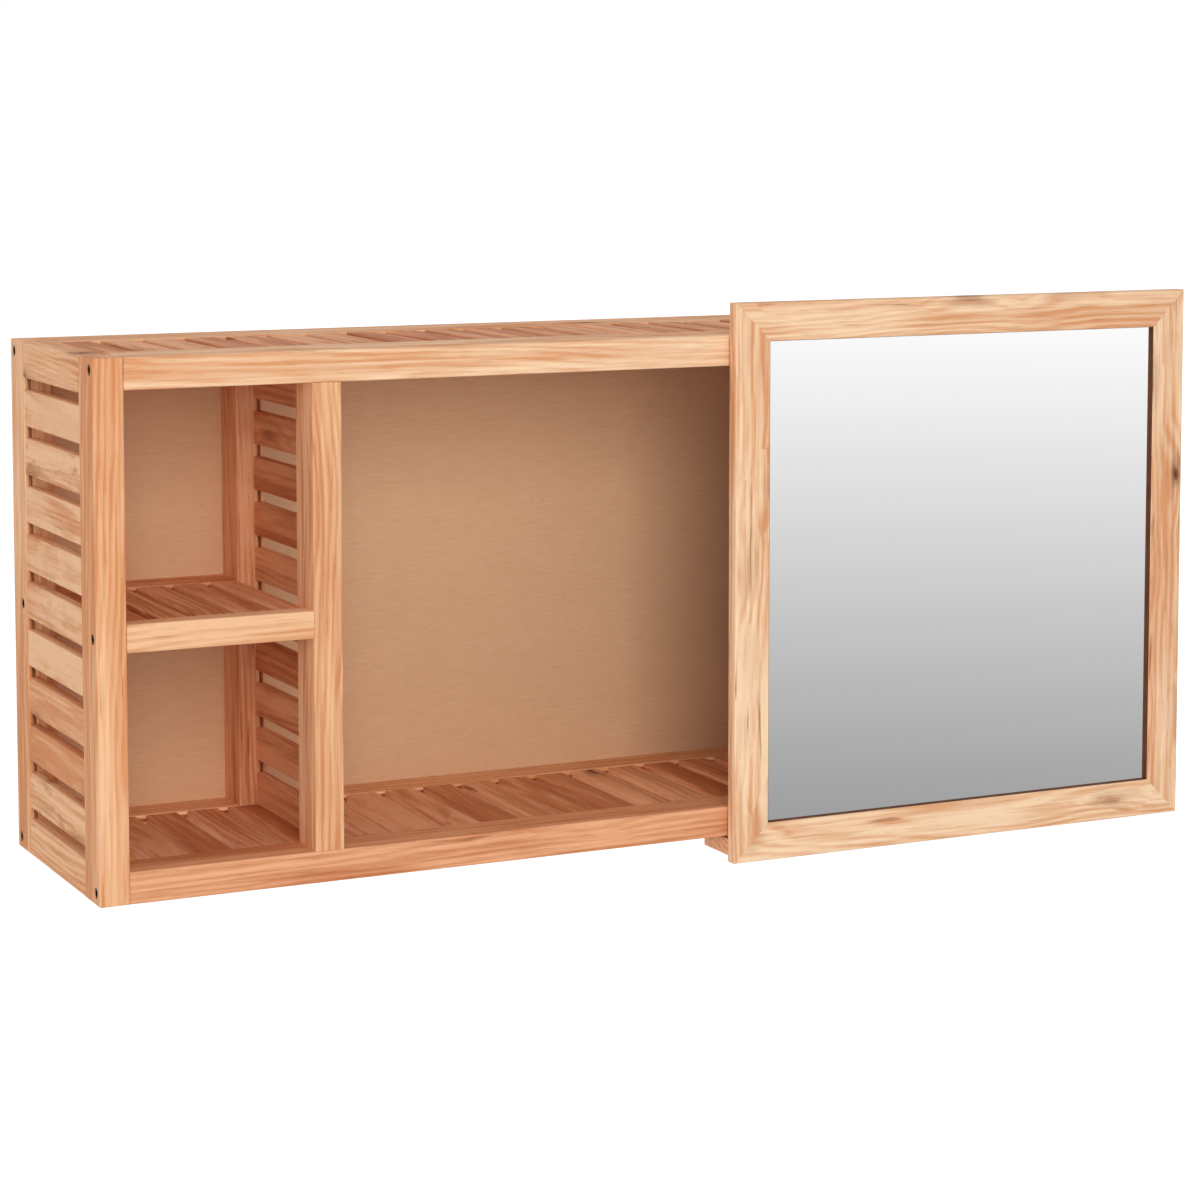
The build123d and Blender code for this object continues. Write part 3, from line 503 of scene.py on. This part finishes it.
# node: grain, own number, knots, tone
boards = {
    "left_front_post": ("z", 0.11, 0.0, oiled_wood),
    "left_back_post": ("z", 0.19, 0.05, oiled_wood),
    "right_front_post": ("z", 0.23, 0.05, oiled_wood),
    "right_back_post": ("z", 0.31, 0.05, oiled_wood),
    "left_top_side_rail": ("y flat", 0.37, 0.9, oiled_wood),
    "left_bottom_side_rail": ("y flat", 0.41, 0.3, oiled_wood),
    "right_top_side_rail": ("y flat", 0.43, 0.2, oiled_wood),
    "right_bottom_side_rail": ("y flat", 0.47, 0.2, oiled_wood),
    "top_back_rail": ("x", 0.59, 0.05, oiled_wood),
    "bottom_back_rail": ("x", 0.67, 0.05, oiled_wood),
    "mirror_runner": ("x", 0.89, 0.05, oiled_wood),
    "divider_back_post": ("z", 0.73, 0.05, inner_wood),
    "shelf_back_rail": ("x", 0.83, 0.05, inner_wood),
    "bottom_front_rail": ("x flat", 0.61, 0.05, inner_wood),
    "divider_front_post": ("z flat", 0.71, 0.0, warm_wood),
    "shelf_front_rail": ("x", 0.79, 0.0, warm_wood),
    "top_front_rail": ("x", 0.53, 0.05, golden_wood),
}
for node, (grain, board, knots, tone) in boards.items():
    dress(node, board_wood(node, grain, board, knots, board_contrast, tone))
print("boards of the cabinet:", len(boards))

# %% [markdown]
# The frame of the mirror is cut from livelier boards than the cabinet: more golden, with small
# dark knots left in and arches where the cut grazes the rings. It takes the same pattern with
# more contrast and more knots.

# %% Boards of the mirror frame
frame_contrast, frame_spread, frame_mottle = 1.35, 0.3, 0.12
frame_boards = {
    "mirror_frame_bottom": ("x flat", 0.17, 0.6),
    "mirror_frame_right": ("z flat", 0.29, 0.6),
    "mirror_frame_top": ("x flat", 0.57, 0.6),
    "mirror_frame_left": ("z flat", 0.03, 0.6),
}
for node, (grain, board, knots) in frame_boards.items():
    dress(node, board_wood(node, grain, board, knots, frame_contrast, golden_wood,
                           frame_spread, frame_mottle))
print("boards of the mirror frame:", len(frame_boards))

# %% [markdown]
# ## Slats
#
# Six rows of slats fill the sides, the top, the floor, the shelf and the divider. Each slat is a
# strip with eased long edges and a thinner tongue at both ends, which stands in a groove of the
# post or rail. They could be modelled once and copied by hand, but a row follows a rule: count,
# first place, step and size. So a Geometry Nodes tree makes the row from those inputs, and the
# same tree serves all six.

# %% One slat with its tongues
def new_tree(name, inputs):
    """An empty Geometry Nodes tree with named inputs."""
    tree = bpy.data.node_groups.new(name, "GeometryNodeTree")
    tree.is_modifier = True
    tree.interface.new_socket("Geometry", in_out="INPUT", socket_type="NodeSocketGeometry")
    for label, kind in inputs:
        tree.interface.new_socket(label, in_out="INPUT", socket_type="NodeSocket" + kind)
    tree.interface.new_socket("Geometry", in_out="OUTPUT", socket_type="NodeSocketGeometry")
    return tree


slat_tree = new_tree("slat row", (
    ("Count", "Int"), ("First", "Vector"), ("Step", "Vector"), ("Turn", "Vector"),
    ("Length", "Float"), ("Width", "Float"), ("Thickness", "Float"), ("Eased", "Float"),
    ("Tongue Length", "Float"), ("Tongue Thickness", "Float"), ("Shoulder", "Float"),
    ("Seed", "Int"), ("Finish", "Material"),
))
tree = slat_tree
given = put(tree, "NodeGroupInput").outputs

# The strip: a rectangle with rounded corners, drawn along a straight line
outline = put(tree, "GeometryNodeCurvePrimitiveQuadrilateral", {
    "Width": given["Width"], "Height": given["Thickness"]})
eased = put(tree, "GeometryNodeFilletCurve", {
    "Curve": outline.outputs[0], "Count": 3, "Radius": given["Eased"], "Limit Radius": True,
}, mode="POLY")
half_length = calc(tree, "MULTIPLY", given["Length"], 0.5)
ahead = put(tree, "ShaderNodeCombineXYZ", {"Y": half_length}).outputs[0]
behind = vector_calc(tree, "MULTIPLY", ahead, (-1.0, -1.0, -1.0))
line = put(tree, "GeometryNodeCurvePrimitiveLine", {"Start": behind, "End": ahead})
strip = put(tree, "GeometryNodeCurveToMesh", {
    "Curve": line.outputs[0], "Profile Curve": eased.outputs[0], "Fill Caps": True})

# The tongues: thinner and a little narrower, one at each end
shoulders = calc(tree, "MULTIPLY", given["Shoulder"], 2.0)
tongue_width = calc(tree, "SUBTRACT", given["Width"], shoulders)
tongue_size = put(tree, "ShaderNodeCombineXYZ", {
    "X": tongue_width, "Y": given["Tongue Length"], "Z": given["Tongue Thickness"]}).outputs[0]
tongue = put(tree, "GeometryNodeMeshCube", {"Size": tongue_size}).outputs["Mesh"]
reach = calc(tree, "MULTIPLY_ADD", given["Tongue Length"], 0.5, half_length)
slat = put(tree, "GeometryNodeJoinGeometry")
tree.links.new(strip.outputs[0], slat.inputs[0])
for sign in (1.0, -1.0):
    there = put(tree, "ShaderNodeCombineXYZ", {"Y": calc(tree, "MULTIPLY", reach, sign)}).outputs[0]
    moved = put(tree, "GeometryNodeTransform", {"Geometry": tongue, "Translation": there})
    tree.links.new(moved.outputs[0], slat.inputs[0])

# The place of each point in its slat, with the grain along X, is kept for the wood
position = put(tree, "GeometryNodeInputPosition").outputs[0]
spot = put(tree, "ShaderNodeSeparateXYZ", {0: position}).outputs
turned_spot = put(tree, "ShaderNodeCombineXYZ", {"X": spot["Y"], "Y": spot["X"], "Z": spot["Z"]})
kept = put(tree, "GeometryNodeStoreNamedAttribute", {
    "Geometry": slat.outputs[0], "Name": "place"}, data_type="FLOAT_VECTOR", domain="POINT")
tree.links.new(turned_spot.outputs[0], kept.inputs["Value"])
print("nodes of one slat:", len(tree.nodes))

# %% The row of slats
crease_angle = math.radians(40)

points = put(tree, "GeometryNodeMeshLine", {
    "Count": given["Count"], "Start Location": given["First"], "Offset": given["Step"],
}, mode="OFFSET")
turn = put(tree, "FunctionNodeEulerToRotation", {0: given["Turn"]}).outputs[0]
row = put(tree, "GeometryNodeInstanceOnPoints", {
    "Points": points.outputs[0], "Instance": kept.outputs[0], "Rotation": turn})
number = put(tree, "FunctionNodeRandomValue", {"Seed": given["Seed"]}, data_type="FLOAT")
numbered = put(tree, "GeometryNodeStoreNamedAttribute", {
    "Geometry": row.outputs[0], "Name": "board"}, data_type="FLOAT", domain="INSTANCE")
tree.links.new(number.outputs[1], numbered.inputs["Value"])
solid = put(tree, "GeometryNodeRealizeInstances", {0: numbered.outputs[0]})
smooth = put(tree, "GeometryNodeSetShadeSmooth", {
    0: solid.outputs[0], "Shade Smooth": True}, domain="FACE")
angle = put(tree, "GeometryNodeInputMeshEdgeAngle").outputs[0]
crease = put(tree, "FunctionNodeCompare", {0: angle, 1: crease_angle}, operation="GREATER_THAN")
creased = put(tree, "GeometryNodeSetShadeSmooth", {
    0: smooth.outputs[0], "Selection": crease.outputs[0], "Shade Smooth": False}, domain="EDGE")
finished = put(tree, "GeometryNodeSetMaterial", {
    0: creased.outputs[0], "Material": given["Finish"]})
put(tree, "NodeGroupOutput", {0: finished.outputs[0]})
print("nodes of the row of slats:", len(tree.nodes))

# %% Grow a piece from a tree
def grow(name, tree, values, body, stands_for, base=None):
    """Run a tree once, keep the result as a plain mesh, and let it stand for solids."""
    holder = bpy.data.objects.new("holder", base or bpy.data.meshes.new("holder"))
    scene.collection.objects.link(holder)
    modifier = holder.modifiers.new("tree", "NODES")
    modifier.node_group = tree
    for item in tree.interface.items_tree:
        if item.in_out == "INPUT" and item.name in values:
            modifier[item.identifier] = values[item.name]
    bpy.context.view_layer.update()
    graph = bpy.context.evaluated_depsgraph_get()
    mesh = bpy.data.meshes.new_from_object(holder.evaluated_get(graph), depsgraph=graph)
    bpy.data.objects.remove(holder)
    piece = bpy.data.objects.new(name, mesh)
    scene.collection.objects.link(piece)
    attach(piece, body)
    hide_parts(*stands_for)
    return piece


def compare(piece, node):
    """How far the piece's box is from the box of the solid it stands for, in millimetres."""
    low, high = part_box(node)
    corners = [piece.matrix_world @ v.co for v in piece.data.vertices]
    gaps = [min(c[i] for c in corners) - low[i] for i in range(3)]
    gaps += [max(c[i] for c in corners) - high[i] for i in range(3)]
    print(f"{piece.name}: {len(piece.data.polygons)} faces, off by",
          [round(gap * 1000, 2) for gap in gaps])


print("each piece that is grown is measured against its solid, in mm")

# %% Sizes of the cabinet that the rows need
cabinet_half = 0.474
front = -0.218
top = 0.036
bottom = -0.364
post_width = 0.023
post_depth = 0.036
rail_height = 0.024
side_rail_height = 0.028
top_rail_depth = 0.052
floor_front_depth = 0.036
floor_back_depth = 0.044
slat_thickness = 0.008
slat_setback = 0.0005
panel_front = -0.012
left_bay_width = 0.144
shelf_underside = bottom + 0.185
shelf_thickness = 0.021
shelf_front_depth = 0.018
shelf_back_depth = 0.036

bay_half = cabinet_half - post_width
slat_mid = slat_setback + slat_thickness / 2
divider_middle = -bay_half + left_bay_width + post_width / 2
shelf_top = shelf_underside + shelf_thickness

slat_profile = {
    "Thickness": slat_thickness, "Eased": 0.0009,
    "Tongue Length": 0.006, "Tongue Thickness": 0.003, "Shoulder": 0.001,
}
on_edge = (0.0, math.radians(90), 0.0)


def slat_row(name, node, finish, seed, first, last, count, length, width, turn=(0.0, 0.0, 0.0)):
    """One row of slats from its first place to its last."""
    step = tuple((b - a) / (count - 1) for a, b in zip(first, last))
    values = dict(slat_profile, Count=count, First=first, Step=step, Turn=turn, Length=length,
                  Width=width, Seed=seed, Finish=finish)
    compare(grow(name, slat_tree, values, "cabinet", [node]), node)


print("width between the posts, mm:", round(2000 * bay_half, 1))

# %% Slats of the two sides
side_length = -front - 2 * post_depth
side_width = 0.028
side_count = 9
side_room = top - bottom - 2 * side_rail_height - side_count * side_width
side_gap = side_room / (side_count + 1)
side_low = bottom + side_rail_height + side_gap + side_width / 2
side_high = top - side_rail_height - side_gap - side_width / 2
side_finish = slat_wood("wood side slats", 0.4, 1.5, oiled_wood, 1.0, 0.8)

for side, sign, seed in (("left", -1, 11), ("right", 1, 12)):
    x = sign * (cabinet_half - slat_mid)
    ends = [(x, front / 2, z) for z in (side_low, side_high)]
    slat_row(f"slats_{side}_side", f"{side}_side_slats", side_finish, seed, *ends, side_count,
             side_length, side_width, on_edge)

# %% Slats of the top and the floor
cross_count = 27
cross_gap = 0.0085
cross_width = (2 * bay_half - (cross_count - 1) * cross_gap) / cross_count
cross_finish = slat_wood("wood cross slats", 0.12, 1.4, inner_wood, 0.9, 0.15)


def cross_row(name, node, seed, front_edge, back_edge, z):
    """Slats lying side by side between two long rails."""
    middle = (front_edge + back_edge) / 2
    reach = bay_half - cross_width / 2
    ends = [(x, middle, z) for x in (-reach, reach)]
    slat_row(name, node, cross_finish, seed, *ends, cross_count, back_edge - front_edge,
             cross_width)


cross_row("slats_top", "top_slats", 21, front + top_rail_depth, -top_rail_depth, top - slat_mid)
cross_row("slats_floor", "bottom_slats", 22, front + floor_front_depth, -floor_back_depth,
          bottom + rail_height - slat_mid)

# %% Slats of the divider and the shelf
divider_count = 10
divider_width = 0.026
divider_front = front + post_depth
divider_back = panel_front - post_depth
divider_low = bottom + rail_height + divider_width / 2
divider_high = top - rail_height - divider_width / 2
divider_x = divider_middle + post_width / 2 - slat_mid
ends = [(divider_x, (divider_front + divider_back) / 2, z) for z in (divider_low, divider_high)]
slat_row("slats_divider", "divider_slats", cross_finish, 31, *ends, divider_count,
         divider_back - divider_front, divider_width, on_edge)

shelf_count = 5
shelf_gap = 0.0075
shelf_width = (left_bay_width - (shelf_count - 1) * shelf_gap) / shelf_count
shelf_front = front + shelf_front_depth
shelf_back = panel_front - shelf_back_depth
ends = [(-bay_half + x, (shelf_front + shelf_back) / 2, shelf_top - slat_mid)
        for x in (shelf_width / 2, left_bay_width - shelf_width / 2)]
slat_row("slats_shelf", "shelf_slats", cross_finish, 41, *ends, shelf_count,
         shelf_back - shelf_front, shelf_width)

# %% [markdown]
# ## The board at the back
#
# The back is a thin board faced with veneer. Its figure is far finer than that of the posts:
# short level fibres and small specks, almost one even tan. It gets a plain noise, drawn out
# along the cabinet, in three sizes. The board behind the glass is pressed and darker, and takes
# the same finish. The dowels of the divider are a plain pale wood.

# %% Back board
def veneer(name, pale, deep, speck):
    """A thin faced board with fine level fibres and specks."""
    material = fresh_material(name)
    tree = material.node_tree
    here = put(tree, "ShaderNodeTexCoord").outputs["Object"]
    fibres = noise(tree, here, (60.0, 900.0, 900.0), 3.0, 0.65)
    cloud = noise(tree, here, (5.0, 14.0, 14.0), 3.0, 0.55)
    specks = noise(tree, here, (150.0, 700.0, 700.0), 1.0)
    share = calc(tree, "MULTIPLY_ADD", band(tree, fibres, 0.3, 0.7), 0.55,
                 calc(tree, "MULTIPLY", cloud, 0.45))
    colour = blend_colour(tree, share, paint(pale), paint(deep))
    colour = blend_colour(tree, band(tree, specks, 0.66, 0.78, 0.0, 0.3), colour, paint(speck))
    relief = put(tree, "ShaderNodeBump", {"Strength": 0.35, "Distance": 0.0001, "Height": fibres})
    finish_surface(tree, {
        "Base Color": colour,
        "Roughness": calc(tree, "MULTIPLY_ADD", fibres, 0.2, 0.45),
        "Normal": relief.outputs[0],
        "Specular IOR Level": 0.3,
    })
    return material


dowel_wood = {"Pale": "ecd2a8", "Deep": "d6b483", "Streak": "b08a58"}
back_finishes = {
    "back_panel": veneer("veneered back board", "e7be97", "d6a77f", "b07f58"),
    "mirror_backing": veneer("pressed board", "8a6244", "6f4b33", "4c3222"),
    "divider_dowels": board_wood("divider_dowels", "z", 0.5, 0.0, 0.6, dowel_wood),
}
for node, finish in back_finishes.items():
    dress(node, finish)
print("back board, backing and dowels dressed:", len(back_finishes))

# %% [markdown]
# ## Mirror
#
# The glass is a sheet silvered at its back. Seen from in front, all that matters is the image,
# so the sheet reflects as polished metal with the faint green that clear glass has. A trace of
# unevenness in the polish, less than the eye would name, keeps the picture in it from being
# dead sharp.

# %% Mirror glass
silver = fresh_material("silvered glass")
tree = silver.node_tree
here = put(tree, "ShaderNodeTexCoord").outputs["Object"]
haze = noise(tree, here, (18.0, 18.0, 18.0), 3.0, 0.6)
polish = band(tree, haze, 0.3, 0.7, 0.0, 0.012)
tint = blend_colour(tree, haze, (0.975, 0.978, 0.978, 1), (0.988, 0.99, 0.99, 1))
finish_surface(tree, {"Base Color": tint, "Roughness": polish, "Metallic": 1.0})
dress("mirror_glass", silver)
glass_low, glass_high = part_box("mirror_glass")
print("glass, mm:", [round(1000 * v) for v in glass_high - glass_low])

# %% [markdown]
# Where the frame meets the glass, its inner edge is painted dark as shade, which draws the thin
# brown line round the picture in the mirror. The painted shade is a skin on the four inner faces:
# two rings of corners at the front and two at the glass, joined into one closed band.

# %% Inner edge painted with shade
mirror_half_width = 0.214
mirror_end_inset = 0.005
mirror_gap = 0.003
mirror_over_top = 0.026
mirror_under_bottom = 0.020
frame_face = 0.0305
frame_thickness = 0.011
shade_skin = 0.00025
shade_from_front = 0.0007
shade_from_back = 0.0071

mirror_middle = cabinet_half - mirror_end_inset - mirror_half_width
mirror_back = front - mirror_gap
mirror_top = top + mirror_over_top
mirror_bottom = bottom - mirror_under_bottom
shade_front = mirror_back - frame_thickness + shade_from_front
shade_back = mirror_back - shade_from_back

# These corners make the thin skin that carries the painted shade of the frame's inner edge.
corners = []
for inset in (frame_face, frame_face + shade_skin):
    left, right = (mirror_middle + sign * (mirror_half_width - inset) for sign in (-1, 1))
    low, high = mirror_bottom + inset, mirror_top - inset
    for y in (shade_front, shade_back):
        corners += [(left, y, low), (right, y, low), (right, y, high), (left, y, high)]
faces = []
for i in range(4):
    j = (i + 1) % 4
    for a, b in ((0, 4), (4, 12), (12, 8), (8, 0)):
        faces.append((a + i, a + j, b + j, b + i))
shade_mesh = bpy.data.meshes.new("painted shade edge")
shade_mesh.from_pydata(corners, [], faces)
shell = bmesh.new()
shell.from_mesh(shade_mesh)
bmesh.ops.recalc_face_normals(shell, faces=shell.faces)
shell.to_mesh(shade_mesh)
shell.free()
shade_edge = bpy.data.objects.new("stained_inner_edge", shade_mesh)
scene.collection.objects.link(shade_edge)

# The two browns below are painted shade on the inner edge of the frame, and on its reflection in
# the glass.
edge_shade = fresh_material("painted edge shade")
tree = edge_shade.node_tree
here = put(tree, "ShaderNodeTexCoord").outputs["Object"]
shade_mottle = noise(tree, here, (60.0, 400.0, 60.0), 3.0, 0.6)
tone = blend_colour(tree, shade_mottle, paint("7d4a2e"), paint("5a321e"))
rough = band(tree, shade_mottle, 0.3, 0.7, 0.5, 0.7)
finish_surface(tree, {"Base Color": tone, "Roughness": rough, "Specular IOR Level": 0.2})
shade_mesh.materials.append(edge_shade)
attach(shade_edge, "mirror")
print("painted shade edge faces:", len(shade_mesh.polygons))

# %% [markdown]
# ## Metal and nylon
#
# Zinc plating is a pale satin with cloudy patches where the crystals differ. The bolts are
# blackened, with browner patches where the black is thin. Nylon is milky and slightly mottled.
# All three read Object coordinates, so the patches are of the same size on every piece.

# %% Metals and nylon
def metal(name, dark_tone, light_tone, rough_low, rough_high, patch, scratch):
    """A metal with cloudy patches and fine scratches."""
    material = fresh_material(name)
    tree = material.node_tree
    here = put(tree, "ShaderNodeTexCoord").outputs["Object"]
    cloud = noise(tree, here, (patch, patch, patch), 4.0, 0.6)
    lines = noise(tree, here, (scratch * 0.08, scratch * 0.08, scratch), 2.0, 0.5)
    share = calc(tree, "MULTIPLY_ADD", band(tree, cloud, 0.35, 0.65), 0.7,
                 calc(tree, "MULTIPLY", lines, 0.3))
    colour = blend_colour(tree, share, paint(dark_tone), paint(light_tone))
    relief = put(tree, "ShaderNodeBump", {"Strength": 0.2, "Distance": 0.00005, "Height": lines})
    rough = band(tree, share, 0.0, 1.0, rough_low, rough_high)
    finish_surface(tree, {
        "Base Color": colour, "Roughness": rough, "Metallic": 1.0, "Normal": relief.outputs[0]})
    return material


zinc = metal("zinc plated steel", "9a9c9c", "c9cccd", 0.28, 0.45, 260.0, 3000.0)
blackened = metal("blackened steel", "15120f", "3a332c", 0.35, 0.6, 700.0, 4000.0)

nylon = fresh_material("milky nylon")
tree = nylon.node_tree
here = put(tree, "ShaderNodeTexCoord").outputs["Object"]
mottle = noise(tree, here, (500.0, 500.0, 500.0), 3.0, 0.5)
tone = blend_colour(tree, mottle, paint("d8d6cc"), paint("ebe9e0"))
rough = band(tree, mottle, 0.3, 0.7, 0.38, 0.55)
finish_surface(tree, {"Base Color": tone, "Roughness": rough})

fittings = {
    "hanging_plates": zinc, "track_stops": zinc, "backing_clips": zinc,
    "left_hanger": zinc, "right_hanger": zinc, "hanger_glides": nylon, "runner_pins": nylon,
}
for node, finish in fittings.items():
    dress(node, finish)
print("fittings of metal and nylon:", len(fittings))

# %% [markdown]
# ## Bolts and screws
#
# The bolts have a flat head with a hexagon socket, and the screws a cross. Both are turned
# shapes with a recess in the top, so a screw is described as a pile of rings from the bottom of
# the recess, over the rim and down to the tip. A ring is round, six-sided or a cross, with all
# rings at the same angles, and faces join each ring to the next.
#
# One screw is made this way. A Geometry Nodes tree then sets a copy at every place, head
# outwards, and turns each by a random amount, because no two screws stop at the same angle.

# %% Turned templates
turned_crease = math.radians(35)


def ring_radius(kind, size, angle, arm):
    """Distance from the axis to the outline of a ring at an angle."""
    if kind == "hexagon":
        sixth = math.pi / 3
        from_flat = (angle + sixth / 2) % sixth - sixth / 2
        return size * math.cos(sixth / 2) / math.cos(from_flat)
    if kind == "cross":
        bend = abs((angle + quarter / 2) % quarter - quarter / 2)
        corner = math.atan2(arm, size)
        return size / math.cos(bend) if bend <= corner + 1e-6 else arm / math.sin(bend)
    return size


def turned_piece(name, rings, arm_share=0.28):
    """A closed mesh from rings of (kind, radius, height), in millimetres, top at zero."""
    corner = math.atan(arm_share)
    angles = sorted(turn * quarter + a for turn in range(4)
                    for a in (0, corner, math.pi / 8, math.pi / 6, math.pi / 4, math.pi / 3,
                              3 * math.pi / 8, quarter - corner))
    corners = []
    for kind, size, z in rings:
        for angle in angles:
            reach = ring_radius(kind, size, angle, size * arm_share)
            point = (reach * math.cos(angle), reach * math.sin(angle), z)
            corners.append(tuple(v / 1000 for v in point))
    n = len(angles)
    faces = [tuple(range(n)), tuple(range(len(corners) - n, len(corners)))]
    for start in range(0, n * (len(rings) - 1), n):
        for j in range(n):
            k = (j + 1) % n
            faces.append((start + j, start + k, start + n + k, start + n + j))
    mesh = bpy.data.meshes.new(name)
    mesh.from_pydata(corners, [], faces)
    shell = bmesh.new()
    shell.from_mesh(mesh)
    bmesh.ops.recalc_face_normals(shell, faces=shell.faces)
    for face in shell.faces:
        face.smooth = len(face.verts) == 4
    for edge in shell.edges:
        edge.smooth = edge.calc_face_angle(0) < turned_crease
    shell.to_mesh(mesh)
    shell.free()
    template = bpy.data.objects.new(name, mesh)
    scene.collection.objects.link(template)
    return template


bolt_shape = turned_piece("bolt template", (
    ("hexagon", 2.1, -1.6), ("hexagon", 2.2, -0.2), ("hexagon", 2.4, 0.0),
    ("round", 3.4, 0.0), ("round", 3.8, -0.12), ("round", 4.0, -0.4), ("round", 4.0, -2.6),
    ("round", 2.5, -2.6), ("round", 2.5, -40.0), ("round", 0.8, -42.0),
))


def countersunk_shape(name, length):
    """Countersunk screw with a cross recess, as long as asked."""
    return turned_piece(name, (
        ("cross", 0.7, -1.1), ("cross", 1.5, -0.5), ("cross", 1.75, 0.0),
        ("round", 2.7, 0.0), ("round", 3.0, -0.15), ("round", 1.6, -1.5),
        ("round", 1.6, -length + 2.0), ("round", 0.5, -length),
    ))


plate_screw_shape = countersunk_shape("plate screw template", 14.0)
hanger_screw_shape = countersunk_shape("hanger screw template", 9.5)
runner_screw_shape = countersunk_shape("runner screw template", 26.0)
clip_screw_shape = turned_piece("clip screw template", (
    ("cross", 0.6, 0.25), ("cross", 1.1, 0.6), ("cross", 1.3, 0.88),
    ("round", 1.5, 0.88), ("round", 2.1, 0.65), ("round", 2.4, 0.2), ("round", 2.4, 0.0),
    ("round", 1.2, 0.0), ("round", 1.2, -5.6), ("round", 0.4, -6.5),
))
print("bolt faces:", len(bolt_shape.data.polygons))

# %% The tree that sets them
setting_tree = new_tree("set at places", (
    ("Piece", "Object"), ("Seed", "Int"), ("Finish", "Material")))
tree = setting_tree
given = put(tree, "NodeGroupInput").outputs
facing = put(tree, "GeometryNodeInputNamedAttribute", {
    "Name": "facing"}, data_type="FLOAT_VECTOR").outputs[0]
upright = put(tree, "FunctionNodeAlignRotationToVector", {"Vector": facing}, axis="Z")
spin_angle = put(tree, "FunctionNodeRandomValue", {
    2: 0.0, 3: 2 * math.pi, "Seed": given["Seed"]}, data_type="FLOAT").outputs[1]
spin = put(tree, "FunctionNodeAxisAngleToRotation", {"Axis": (0, 0, 1), "Angle": spin_angle})
turned = put(tree, "FunctionNodeRotateRotation", {
    "Rotation": upright.outputs[0], "Rotate By": spin.outputs[0]}, rotation_space="LOCAL")
shape = put(tree, "GeometryNodeObjectInfo", {"Object": given["Piece"]}).outputs["Geometry"]
copies = put(tree, "GeometryNodeInstanceOnPoints", {
    "Points": given["Geometry"], "Instance": shape, "Rotation": turned.outputs[0]})
real = put(tree, "GeometryNodeRealizeInstances", {0: copies.outputs[0]})
finished = put(tree, "GeometryNodeSetMaterial", {
    0: real.outputs[0], "Material": given["Finish"]})
put(tree, "NodeGroupOutput", {0: finished.outputs[0]})


def set_pieces(name, node, shape, places, seed, finish, body):
    """Set a template at places, each a point and the way its head looks."""
    mesh = bpy.data.meshes.new("places")
    mesh.from_pydata([point for point, facing in places], [], [])
    way = mesh.attributes.new("facing", "FLOAT_VECTOR", "POINT")
    way.data.foreach_set("vector", [c for point, facing in places for c in facing])
    values = {"Piece": shape, "Seed": seed, "Finish": finish}
    compare(grow(name, setting_tree, values, body, [node], mesh), node)


print("nodes of the setting tree:", len(tree.nodes))

# %% Bolts of the frame and the shelf
bolt_from_face = 0.0094
bolt_from_end = 0.009
bolt_sunk = 0.0005
head_x = cabinet_half - bolt_sunk
divider_head = divider_middle + post_width / 2 - bolt_sunk
shelf_middle = shelf_top - shelf_thickness / 2
shelf_bolt_y = (panel_front - post_depth) / 2

frame_bolt_places = [((sign * head_x, y, z), (sign, 0, 0))
                     for sign in (-1, 1)
                     for y in (front + bolt_from_face, -bolt_from_face)
                     for z in (bottom + bolt_from_end, top - bolt_from_end)]
shelf_bolt_places = [((x, y, shelf_middle), (sign, 0, 0))
                     for x, sign in ((-head_x, -1), (divider_head, 1))
                     for y in (front + bolt_from_face, shelf_bolt_y)]
for name, node, places, seed in (
    ("bolts_frame", "frame_bolts", frame_bolt_places, 51),
    ("bolts_shelf", "shelf_bolts", shelf_bolt_places, 52),
):
    set_pieces(name, node, bolt_shape, places, seed, blackened, "cabinet")

# %% Screws of the plates, the hangers, the runner and the clips
plate_screw_heights = (0.0188, -0.0108)
hanger_inboard = 0.060
hanger_steel = 0.0015
hanger_lift = 0.0012
hanger_leg = 0.021
hanger_screw_drop = 0.006
hanger_screw_apart = 0.018
runner_inboard = 0.040
runner_gap = 0.002
runner_height = 0.013
runner_screw_in = 0.0194
rebate_width = 0.006
clip_length = 0.022
clip_thickness = 0.0008
clip_on_board = 0.009

back = (0, 1, 0)
post_middle = cabinet_half - post_width / 2
plate_places = [((sign * post_middle, 0.0, z), back)
                for sign in (-1, 1) for z in plate_screw_heights]

hanger_offset = mirror_half_width - hanger_inboard
hanger_z = top + hanger_lift + hanger_leg - hanger_screw_drop
hanger_places = [
    ((mirror_middle + sign * hanger_offset + shift, mirror_back + hanger_steel, hanger_z), back)
    for sign in (-1, 1) for shift in (-hanger_screw_apart / 2, hanger_screw_apart / 2)]

runner_reach = mirror_half_width - runner_inboard
runner_z = bottom - runner_gap - runner_height / 2
runner_places = [
    ((mirror_middle + share * runner_reach, mirror_back + runner_screw_in, runner_z), back)
    for share in (-1, 0, 1)]

clip_reach = rebate_width - clip_on_board + clip_length / 2 + clip_length / 4
clip_y = mirror_back + clip_thickness
clip_low = mirror_bottom + frame_face + clip_length
clip_high = mirror_top - frame_face - clip_length
opening_half = mirror_half_width - frame_face
clip_places = [((mirror_middle + sign * (opening_half + clip_reach), clip_y, z), back)
               for sign in (-1, 1) for z in (clip_low, (clip_low + clip_high) / 2, clip_high)]
clip_places += [
    ((mirror_middle + sign * opening_half / 2, clip_y, mirror_top - frame_face + clip_reach), back)
    for sign in (-1, 1)]

for name, node, shape, places, seed, body in (
    ("screws_plate", "plate_screws", plate_screw_shape, plate_places, 61, "cabinet"),
    ("screws_hanger", "hanger_screws", hanger_screw_shape, hanger_places, 62, "mirror"),
    ("screws_runner", "runner_screws", runner_screw_shape, runner_places, 63, "mirror"),
    ("screws_clip", "clip_screws", clip_screw_shape, clip_places, 64, "mirror"),
):
    set_pieces(name, node, shape, places, seed, zinc, body)

for template in (bolt_shape, plate_screw_shape, hanger_screw_shape, runner_screw_shape,
                 clip_screw_shape):
    bpy.data.objects.remove(template)
